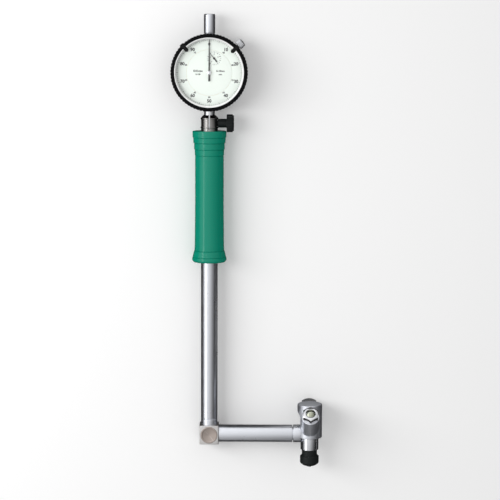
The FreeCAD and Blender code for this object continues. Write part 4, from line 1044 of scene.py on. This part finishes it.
caseSize = {
    "radius": 26.5, "bore": 23.6, "back": -7.5, "front": 7.6, "plateSeat": 24.4, "seatBack": 6.4,
    "lidSeat": 24.5, "lidSeatFront": -5.0,
}
size = caseSize
case = lathe("indicatorCase", [
    (size["bore"], size["lidSeatFront"]),
    (size["lidSeat"], size["lidSeatFront"]),
    (size["lidSeat"], size["back"]),
    (size["radius"], size["back"], 0.3),
    (size["radius"], size["front"], 0.3),
    (size["plateSeat"], size["front"]),
    (size["plateSeat"], size["seatBack"]),
    (size["bore"], size["seatBack"]),
], 256)
fromDial = onDial.inverted()
shankHole = 1.3
for radius, low, high in ((4.02, 230, 252), (3.42, 290, 320), (3.9, 299, 320)):
    drill(case, fromDial @ onTube, radius, low, high)
lockAxis = Vector(joints["bezel_lock_turn"]["axis"])
lockAlong = gauge.to_3x3().inverted() @ lockAxis
onLock = axisAt(y=dialY, z=2.0, along=lockAlong, across=(0, 0, 1))
drill(case, fromDial @ onLock, shankHole, 15, 40, 48)
settle(case, onDial, "indicator", caseEnamel, "indicator_case", slot="case_alloy")

lidSize = {
    "radius": 26.2, "back": -9.5, "step": -7.5, "lip": 24.45, "lipInner": 22.5, "lipFront": -5.8,
    "recess": 20.5, "recessDeep": 0.4, "screwCircle": 23.5, "screwHead": 1.3,
}
size = lidSize
lid = lathe("backLid", [
    (0, size["back"] + size["recessDeep"]),
    (size["recess"] - 0.6, size["back"] + size["recessDeep"], 0.3),
    (size["recess"], size["back"], 0.2),
    (size["radius"], size["back"], 0.6),
    (size["radius"], size["step"], 0.2),
    (size["lip"], size["step"]),
    (size["lip"], size["lipFront"]),
    (size["lipInner"], size["lipFront"]),
    (size["lipInner"], size["step"]),
    (0, size["step"]),
], 256)
for index in range(4):
    angle = math.radians(45 + 90 * index)
    sink = lathe("sinkTool", [
        (0, size["back"] - 0.1), (size["screwHead"] + 0.12, size["back"] - 0.1),
        (0.72, size["back"] + 0.75),
        (0.72, -5.0), (0, -5.0),
    ], 40)
    move = Matrix.Translation(
        (size["screwCircle"] * math.cos(angle), size["screwCircle"] * math.sin(angle), 0),
    )
    carve(lid, shifted(sink, move))
settle(lid, onDial, "indicator", caseEnamel, "back_lid", slot="case_alloy")
screwHead = lathe("lidScrews", [
    (0, size["back"] + 0.02), (size["screwHead"], size["back"] + 0.02, 0.1), (0.6, size["back"] + 0.75),
    (0.6, -5.0), (0, -5.0),
], 32)
carve(screwHead, brick("slotTool", (-2, -0.2, size["back"] - 0.2), (2, 0.2, size["back"] + 0.4)))
grow(screwHead, screwTree, {
    "Count": 4, "Radius": size["screwCircle"], "First Angle": math.radians(45), "Seed": 3,
    "Material": polishedSteel,
})
settle(screwHead, onDial, "indicator", polishedSteel, "lid_screws", slot="bright_ring")

shoeSize = {"halfDeep": 2.45, "halfWide": 2.5, "from": 26.4, "to": 28.4, "edge": 0.25}
size = shoeSize
shoe = brick("lockShoe", (-size["halfDeep"], -size["halfWide"], size["from"]),
             (size["halfDeep"], size["halfWide"], size["to"]), size["edge"])
drill(shoe, Matrix(), shankHole, 20, 40, 48)
drill(shoe, onLock.inverted() @ onDial, caseSize["radius"], -20, 20, 256)
settle(shoe, onLock, "indicator", polishedSteel, "lock_shoe", slot="bright_ring")

lockSize = {"shank": 1.25, "from": 23.8, "knob": 3.4, "knobFrom": 28.8, "knobTo": 33.7, "grooves": 20}
size = lockSize
lock = lathe("lockScrew", [
    (0, size["from"]),
    (size["shank"], size["from"], 0.2),
    (size["shank"], size["knobFrom"]),
    (size["knob"], size["knobFrom"], 0.3),
    *[(radius, along) for radius, along in crown(size["knob"], size["knobTo"] - 0.8, 0.8)],
], 8 * size["grooves"])
grow(lock, knurlTree, {
    "Count": size["grooves"], "Depth": 0.28, "Groove Share": 0.6, "From Radius": size["knob"] - 0.6,
    "Rim Radius": size["knob"] - 0.05, "From Height": size["knobFrom"] - 0.5, "Material": polishedSteel,
})
settle(lock, onLock, "bezel_lock", polishedSteel, "lock_screw", slot="bright_ring")
print("case, lid and lock screw made")


# bezel, glass and bright ring

bezelSize = {
    "radius": 28.5, "back": 4.6, "front": 13.2, "bore": 26.56, "ring": 25.6, "glass": 25.5,
    "glassBack": 11.0,
    "glassFront": 12.2, "view": 24.3, "notches": 72, "notchDeep": 0.45, "notchShare": 0.48,
}
size = bezelSize
bezel = lathe("bezel", [
    (size["bore"], size["back"]),
    (size["radius"], size["back"], 0.5),
    (size["radius"], size["front"], 0.7),
    (size["ring"] + 0.02, size["front"], 0.15),
    (size["ring"] + 0.02, size["glassFront"]),
    (size["glass"] + 0.02, size["glassFront"]),
    (size["glass"] + 0.02, size["glassBack"]),
    (size["view"], size["glassBack"], 0.1),
    (size["view"], dialFace + 0.01),
    (dialHigh.x + 0.02, dialFace + 0.01),
    (dialHigh.x + 0.02, 7.66),
    (size["bore"], 7.66),
], 8 * size["notches"])
grow(bezel, knurlTree, {
    "Count": size["notches"], "Depth": size["notchDeep"], "Groove Share": size["notchShare"],
    "From Radius": size["radius"] - 1.2, "Rim Radius": size["radius"] - 0.05, "Material": bezelBlack,
})
settle(bezel, onDial, "bezel_set", bezelBlack, "bezel", slot="black_plastic")

glass, tree, shader = blank("clearCrystal")
shader.inputs["Base Color"].default_value = (1, 1, 1, 1)
shader.inputs["Transmission Weight"].default_value = 1.0
shader.inputs["Roughness"].default_value = 0.02
shader.inputs["IOR"].default_value = 1.49
shader.inputs["Specular IOR Level"].default_value = 0.3
where = coordinates(tree, True)
smears = placeGroup(tree, handling, {"Vector": where, "Size mm": 16.0})
haze = add(tree, "ShaderNodeMapRange", {0: smears.outputs["Smear"], 1: 0.45, 2: 0.8, 3: 0.0, 4: 0.05})
tree.links.new(haze.outputs[0], shader.inputs["Roughness"])
clear = add(tree, "ShaderNodeBsdfTransparent", {"Color": (1, 1, 1, 1)})
rays = add(tree, "ShaderNodeLightPath")
passing = sums(tree, "MAXIMUM", rays.outputs["Is Shadow Ray"], rays.outputs["Is Diffuse Ray"])
through = add(tree, "ShaderNodeMixShader", {0: passing, 1: shader.outputs[0], 2: clear.outputs[0]})
tree.links.new(through.outputs[0], tree.nodes["Material Output"].inputs["Surface"])
crystal = lathe("crystal", [
    (0, size["glassBack"] + 0.01), (size["glass"], size["glassBack"] + 0.01, 0.1),
    (size["glass"], size["glassFront"] - 0.01, 0.1), (0, size["glassFront"] - 0.01),
], 192)
settle(crystal, onDial, "bezel_set", glass, "crystal", slot="crystal_clear")

ring = lathe("brightRing", [
    (24.22, size["glassFront"] + 0.01),
    (size["ring"], size["glassFront"] + 0.01),
    (size["ring"], size["front"], 0.1),
    (size["ring"] - 0.5, size["front"], 0.15),
    (24.22, size["glassFront"] + 0.3, 0.08),
], 256)
settle(ring, onDial, "bezel_set", brightRing, "crystal_ring", slot="bright_ring")
print("bezel made")


# dial: turning outer ring with its graduations, fixed centre with the small counter dial

dialSize = {
    "innerRadius": 16.7, "plateRadius": 16.6, "ink": 0.03, "arborHole": 0.56,
    "edge": 24.1, "longMark": 1.5, "halfMark": 1.3, "shortMark": 1.0,
    "longWidth": 0.24, "shortWidth": 0.12,
    "numberRadius": 20.6, "numberHeight": 2.3, "reverseRadius": 17.9, "reverseHeight": 1.2, "bold": 0.055,
    "words": [
        ("0.01mm", -8.2, 1.2, 1.5), ("0-100", -8.2, -1.2, 1.1), ("0-10mm", 8.2, 1.2, 1.3),
        ("mm", 8.2, -1.2, 1.1),
    ],
    "counterX": 3.55, "counterY": 10.41, "counterRadius": 5.1,
}
size = dialSize
dialRing = lathe("dialRing", [
    (size["innerRadius"], 7.7), (dialHigh.x, 7.7), (dialHigh.x, dialFace),
    (size["innerRadius"], dialFace, 0.05),
], 256)
settle(dialRing, onDial, "bezel_set", dialEnamel, "dial_ring", slot="dial_paint")
centre = lathe("dialCentre", [
    (0, 7.4), (size["plateRadius"], 7.4), (size["plateRadius"], dialFace, 0.05), (0, dialFace),
], 192)
for x, y in ((0, 0), (size["counterX"], size["counterY"])):
    drill(centre, Matrix.Translation((x, y, 0)), size["arborHole"], 5, 10, 32)
settle(centre, onDial, "indicator", dialEnamel, "dial_plate", slot="dial_paint")


def marks(count, radius, length, width, first=0.0):
    return grow(emptyPiece("marks"), marksTree, {
        "Count": count, "Radius": radius, "Length": length, "Width": width, "Height": size["ink"],
        "First Angle": first, "Material": dialInk,
    })


def lettering(text, x, y, height):
    # printed characters standing a hair above the dial, centred on a point
    curve = bpy.data.curves.new("lettering", "FONT")
    curve.body = text
    curve.size = height * 1.38  # the font's capitals are about 0.72 of its size
    curve.align_x = "CENTER"
    curve.align_y = "CENTER"
    curve.extrude = size["ink"] / 2
    curve.resolution_u = 3
    curve.offset = height * size["bold"]
    holder = bpy.data.objects.new("lettering", curve)
    scene.collection.objects.link(holder)
    shown = holder.evaluated_get(bpy.context.evaluated_depsgraph_get())
    mesh = bpy.data.meshes.new_from_object(shown)
    bpy.data.objects.remove(holder)
    piece = bpy.data.objects.new("lettering", mesh)
    scene.collection.objects.link(piece)
    bm = bmesh.new()
    bm.from_mesh(mesh)
    bmesh.ops.remove_doubles(bm, verts=bm.verts, dist=1e-5)
    bm.to_mesh(mesh)
    bm.free()
    return shifted(piece, Matrix.Translation((x, y, size["ink"] / 2)))


tenth = math.tau / 10
printed = [marks(10, size["edge"], size["longMark"], size["longWidth"])]
printed.append(marks(10, size["edge"], size["halfMark"], size["longWidth"], tenth / 2))
for index in range(1, 10):
    if index != 5:
        printed.append(marks(10, size["edge"], size["shortMark"], size["shortWidth"], tenth * index / 10))
for index in range(10):
    x, y = math.sin(tenth * index), math.cos(tenth * index)
    radius = size["numberRadius"]
    printed.append(lettering(str(10 * index), x * radius, y * radius, size["numberHeight"]))
    if index:
        radius = size["reverseRadius"]
        printed.append(lettering(str(100 - 10 * index), x * radius, y * radius, size["reverseHeight"]))
printed = shifted(joined("dialGraduations", printed), Matrix.Translation((0, 0, dialFace)))
settle(printed, onDial, "bezel_set", dialInk)

counter = [
    shifted(
        marks(10, size["counterRadius"], 1.2, 0.32),
        Matrix.Translation((size["counterX"], size["counterY"], 0)),
    ),
    shifted(marks(10, size["counterRadius"], 0.8, 0.2, math.tau / 20),
            Matrix.Translation((size["counterX"], size["counterY"], 0))),
]
for index in range(0, 10, 2):
    angle = -tenth * index
    x = size["counterX"] + 3.0 * math.sin(angle)
    y = size["counterY"] + 3.0 * math.cos(angle)
    counter.append(lettering(str(index), x, y, 0.85))
for text, x, y, height in size["words"]:
    counter.append(lettering(text, x, y, height))
counter = shifted(joined("centrePrint", counter), Matrix.Translation((0, 0, dialFace)))
settle(counter, onDial, "indicator", dialInk)

pointerSize = {
    "tip": 24.0, "tail": 6.3, "tailHalf": 0.7, "waist": 0.55, "tipHalf": 0.28, "back": 9.4, "thick": 0.3,
}
size = pointerSize
blade = plate("pointer", [
    (-size["tailHalf"], -size["tail"]), (size["tailHalf"], -size["tail"]), (size["waist"], -1.0),
    (size["waist"], 1.0), (size["tipHalf"], size["tip"]), (-size["tipHalf"], size["tip"]),
    (-size["waist"], 1.0), (-size["waist"], -1.0),
], size["back"], size["back"] + size["thick"], 0.05)
settle(blade, onDial, "centre_gear", handEnamel, "pointer", slot="hand_paint")
boss = lathe("pointerBoss", [
    (0, size["back"] - 0.01), (1.45, size["back"] - 0.01, 0.05), (1.45, size["back"] + 0.45, 0.1),
    (0.6, size["back"] + 0.69, 0.1), (0, size["back"] + 0.69),
], 64)
settle(boss, onDial, "centre_gear", polishedSteel, slot="polished_steel")

handSize = {
    "tip": 4.6, "tail": 3.2, "tailHalf": 0.55, "tipHalf": 0.1, "back": 8.8, "thick": 0.2, "turn": 40.0,
}
size = handSize
blade = plate("counterHand", [
    (-size["tailHalf"], -size["tail"]), (size["tailHalf"], -size["tail"]), (0.3, 0.0),
    (size["tipHalf"], size["tip"]), (-size["tipHalf"], size["tip"]), (-0.3, 0.0),
], size["back"], size["back"] + size["thick"], 0.03)
blade = joined("counterHand", [blade, lathe("handBoss", [
    (0, size["back"] + 0.05), (0.8, size["back"] + 0.05), (0.8, size["back"] + 0.38, 0.08),
    (0, size["back"] + 0.38),
], 48)])
blade.data.transform(Matrix.Rotation(math.radians(size["turn"]), 4, "Z"))
counterSpace = axisAt(x=dialSize["counterX"], y=dialY + dialSize["counterY"], along=(0, 0, 1))
settle(blade, counterSpace, "takeup_gear", handEnamel, "counter_hand", slot="hand_paint")

markerSize = {
    "tip": 21.7, "half": 1.4, "outside": 28.55, "thick": 0.6, "leg": 0.5, "foot": 10.65, "over": 13.25,
}
size = markerSize
for name, turn, body in (("marker_left", 45.0, "left_marker"), ("marker_right", -47.6, "right_marker")):
    finger = plate("markerFinger", [
        (-size["half"], size["tip"] + 1), (0, size["tip"]), (size["half"], size["tip"] + 1),
        (size["half"], size["outside"] + size["leg"]), (-size["half"], size["outside"] + size["leg"]),
    ], size["over"], size["over"] + size["thick"], 0.12)
    leg = brick("markerLeg", (-size["half"], size["outside"], size["foot"]),
                (size["half"], size["outside"] + size["leg"], size["over"] + size["thick"] - 0.02), 0.1)
    carve(finger, leg, "UNION")
    finger.data.transform(Matrix.Rotation(math.radians(turn), 4, "Z"))
    finger.name = "markerLeft" if turn > 0 else "markerRight"
    settle(finger, onDial, body, bezelBlack, name, slot="black_steel")
print("dial made")


# inner pieces keep their CAD meshes and get real finishes

innerFinish = {
    innerBronze: ["lower_bush", "upper_bush", "arm_bush_inner", "arm_bush_outer", "top_bush"],
    innerBrass: [
        "main_plate", "front_plate", "bridge_plate", "plate_pillars", "guide_rail", "first_wheel",
        "takeup_wheel", "centre_arbor",
    ],
    innerSpring: ["plunger_spring", "return_spring", "hairspring"],
}
finished = {name for names in innerFinish.values() for name in names}
shownNodes = [name for name, item in frame["nodes"].items() if not item.hide_render]
innerFinish[innerSteel] = [name for name in shownNodes if name not in finished]
for material, names in innerFinish.items():
    for name in names:
        slots = frame["nodes"][name].material_slots
        if len(slots) == 0:
            print("no slot on", name)
        for item in slots:
            item.material = material
print("inner pieces finished:", len(shownNodes))


# floor, light tent, lamps and camera

stageSize = {
    "floor": 8.0, "pale": (0.90, 0.90, 0.90), "backdrop": (0.93, 0.93, 0.93),
    "cameraLift": 0.08, "ambient": 0.62,
}
bm = bmesh.new()
bmesh.ops.create_grid(bm, x_segments=1, y_segments=1, size=stageSize["floor"] / 2)
floorPiece = meshOf("floor", bm)
floorPiece.location.z = cadBox[0].z - 0.0002
floorMaterial, tree, shader = blank("paleFloor")
place = add(tree, "ShaderNodeTexCoord").outputs["Object"]
cloud = add(tree, "ShaderNodeTexNoise", {"Vector": place, "Scale": 3.0, "Detail": 2.0})
shader.inputs["Roughness"].default_value = 0.9
shader.inputs["Specular IOR Level"].default_value = 0.1
tree.links.new(mixed(
    tree, cloud.outputs[0], stageSize["pale"], [0.985 * part for part in stageSize["pale"]]
),
               shader.inputs["Base Color"])
rays = add(tree, "ShaderNodeLightPath")
lifted = sums(tree, "MULTIPLY", rays.outputs["Is Camera Ray"], stageSize["cameraLift"])
lift = add(tree, "ShaderNodeEmission", {"Strength": lifted})
both = add(tree, "ShaderNodeAddShader", {0: shader.outputs[0], 1: lift.outputs[0]})
tree.links.new(both.outputs[0], tree.nodes["Material Output"].inputs["Surface"])
floorPiece.data.materials.append(floorMaterial)


tentLook = {
    "radius": 2.6, "dark": 0.03, "underEnds": 0.12, "overhead": 0.86, "upwards": 0.28, "downwards": 0.25,
    "right": 0.74, "left": 0.28, "sideFrom": 0.45, "sideOver": 0.5, "horizon": 0.42,
    "strip": 3.2, "stripAt": 0.70, "stripWide": 0.05, "stripFoot": 0.3,
}


def glowOf(direction):
    # brightness of the light tent as metal sees it: a broad soft source up and to the left
    x, y, z = direction
    look = tentLook
    if z < 0:
        return look["dark"] + look["underEnds"] * max(0.0, min(1.0, abs(y) * 1.4 - 0.4))
    glow = look["overhead"] + look["upwards"] * y - look["right"] * max(x, 0) - look["left"] * min(x, 0)
    if y < 0:
        glow += look["downwards"] * y
    side = max(0.0, min(1.0, (abs(x) - look["sideFrom"]) / look["sideOver"]))
    rise = max(0.0, min(1.0, z / look["horizon"]))
    rise = rise * rise * (3 - 2 * rise)
    glow *= 1 - side * (1 - rise)
    strip = math.exp(-(((x + look["stripAt"]) / look["stripWide"]) ** 2))
    return max(look["dark"], glow + look["strip"] * strip * (z > look["stripFoot"]))


def glowMaterial(name):
    material, tree, shader = blank(name)
    tree.nodes.remove(shader)
    glow = add(tree, "ShaderNodeAttribute", attribute_name="glow")
    lit = add(tree, "ShaderNodeEmission", {"Color": (1, 1, 1, 1), "Strength": glow.outputs["Fac"]})
    tree.links.new(lit.outputs[0], tree.nodes["Material Output"].inputs["Surface"])
    return material


def onlyReflected(piece):
    # a studio card that shows in gloss and nowhere else
    piece.visible_camera = False
    piece.visible_diffuse = False
    piece.visible_shadow = False
    piece.visible_transmission = False
    piece.visible_volume_scatter = False


bm = bmesh.new()
bmesh.ops.create_uvsphere(bm, u_segments=128, v_segments=96, radius=tentLook["radius"])
tent = meshOf("lightTent", bm)
turnBack = gauge.to_3x3().inverted()
glow = tent.data.attributes.new("glow", "FLOAT", "POINT")
glow.data.foreach_set("value", [glowOf((turnBack @ v.co).normalized()) for v in tent.data.vertices])
tent.data.materials.append(glowMaterial("tentGlow"))
tent.location = gauge.translation
onlyReflected(tent)

# a dark card lying on the floor, seen only in gloss: it paints dark reflections into the metal's lower
# edges
cardSize = {
    "across": 1.0, "along": 1.4, "cells": 140, "dark": 0.04, "patch": 0.6, "patchY": 65, "patchWide": 22,
    "patchLong": 32,
}
bm = bmesh.new()
bmesh.ops.create_grid(bm, x_segments=cardSize["cells"], y_segments=cardSize["cells"], size=0.5)
bmesh.ops.scale(bm, verts=bm.verts, vec=(cardSize["across"], cardSize["along"], 1))
card = meshOf("darkReflectionCard", bm)
card.location = ((cadBox[0].x + cadBox[1].x) / 2, 0, cadBox[0].z - 0.0001)
glow = card.data.attributes.new("glow", "FLOAT", "POINT")
levels = []
for vertex in card.data.vertices:
    # a paler patch of painted reflection beyond the head, so its rear nut and top don't fall into the dark
    place = gaugeInMm.inverted() @ (vertex.co + card.location)
    offX = (place.x - headX) / cardSize["patchWide"]
    offY = (place.y - cardSize["patchY"]) / cardSize["patchLong"]
    levels.append(cardSize["dark"] + cardSize["patch"] * math.exp(-offX ** 2 - offY ** 2))
glow.data.foreach_set("value", levels)
card.data.materials.append(glowMaterial("cardGlow"))
onlyReflected(card)

world = bpy.data.worlds.new("paleStudio")
scene.world = world
world.use_nodes = True
tree = world.node_tree
tree.nodes.clear()
ambient = add(tree, "ShaderNodeBackground", {"Color": (1, 1, 1, 1), "Strength": stageSize["ambient"]})
backdrop = add(tree, "ShaderNodeBackground", {"Color": (*stageSize["backdrop"], 1), "Strength": 1.0})
rays = add(tree, "ShaderNodeLightPath")
seen = sums(tree, "MAXIMUM", rays.outputs["Is Camera Ray"], rays.outputs["Is Glossy Ray"])
seen = sums(tree, "MAXIMUM", seen, rays.outputs["Is Transmission Ray"])
both = add(tree, "ShaderNodeMixShader", {0: seen, 1: ambient.outputs[0], 2: backdrop.outputs[0]})
worldOut = add(tree, "ShaderNodeOutputWorld")
tree.links.new(both.outputs[0], worldOut.inputs["Surface"])

lampSize = {"across": 0.35, "along": 0.8, "power": 6.0, "from": (-0.62, 0.20, 0.75)}
lampData = bpy.data.lights.new("softBox", "AREA")
lampData.shape = "RECTANGLE"
lampData.size = lampSize["across"]
lampData.size_y = lampSize["along"]
lampData.energy = lampSize["power"]
lamp = bpy.data.objects.new("softBox", lampData)
scene.collection.objects.link(lamp)
aim = gaugeInMm @ Vector((30, 140, 0))
lampPlace = gauge @ Vector(lampSize["from"]) + (aim - gauge.translation)
lampTurn = (aim - lampPlace).to_track_quat("-Z", "Y").to_matrix().to_4x4()
lamp.matrix_world = Matrix.Translation(lampPlace) @ lampTurn
lamp.visible_glossy = False

cameraSize = {"from": (31.0, 288.0, 1186.8), "at": (30.53, 140.63, 0.0), "roll": 0.0041, "reach": 1591.8}
cameraData = bpy.data.cameras.new("camera")
cameraData.sensor_width = 36
cameraData.lens = cameraSize["reach"] / 500 * 36
cameraData.clip_start = 0.05
cameraData.clip_end = 30
camera = bpy.data.objects.new("camera", cameraData)
scene.collection.objects.link(camera)
stand = Vector(cameraSize["from"])
look = (Vector(cameraSize["at"]) - stand).normalized()
right = look.cross(Vector((0, 1, 0))).normalized()
above = right.cross(look)
rolled = (
    right * math.cos(cameraSize["roll"]) + above * math.sin(cameraSize["roll"]),
    above * math.cos(cameraSize["roll"]) - right * math.sin(cameraSize["roll"]),
    -look,
)
pose = Matrix(rolled).transposed().to_4x4()
pose.translation = stand * mm
camera.matrix_world = gauge @ pose
scene.camera = camera
scene.view_settings.view_transform = "Standard"

print("scene ready")
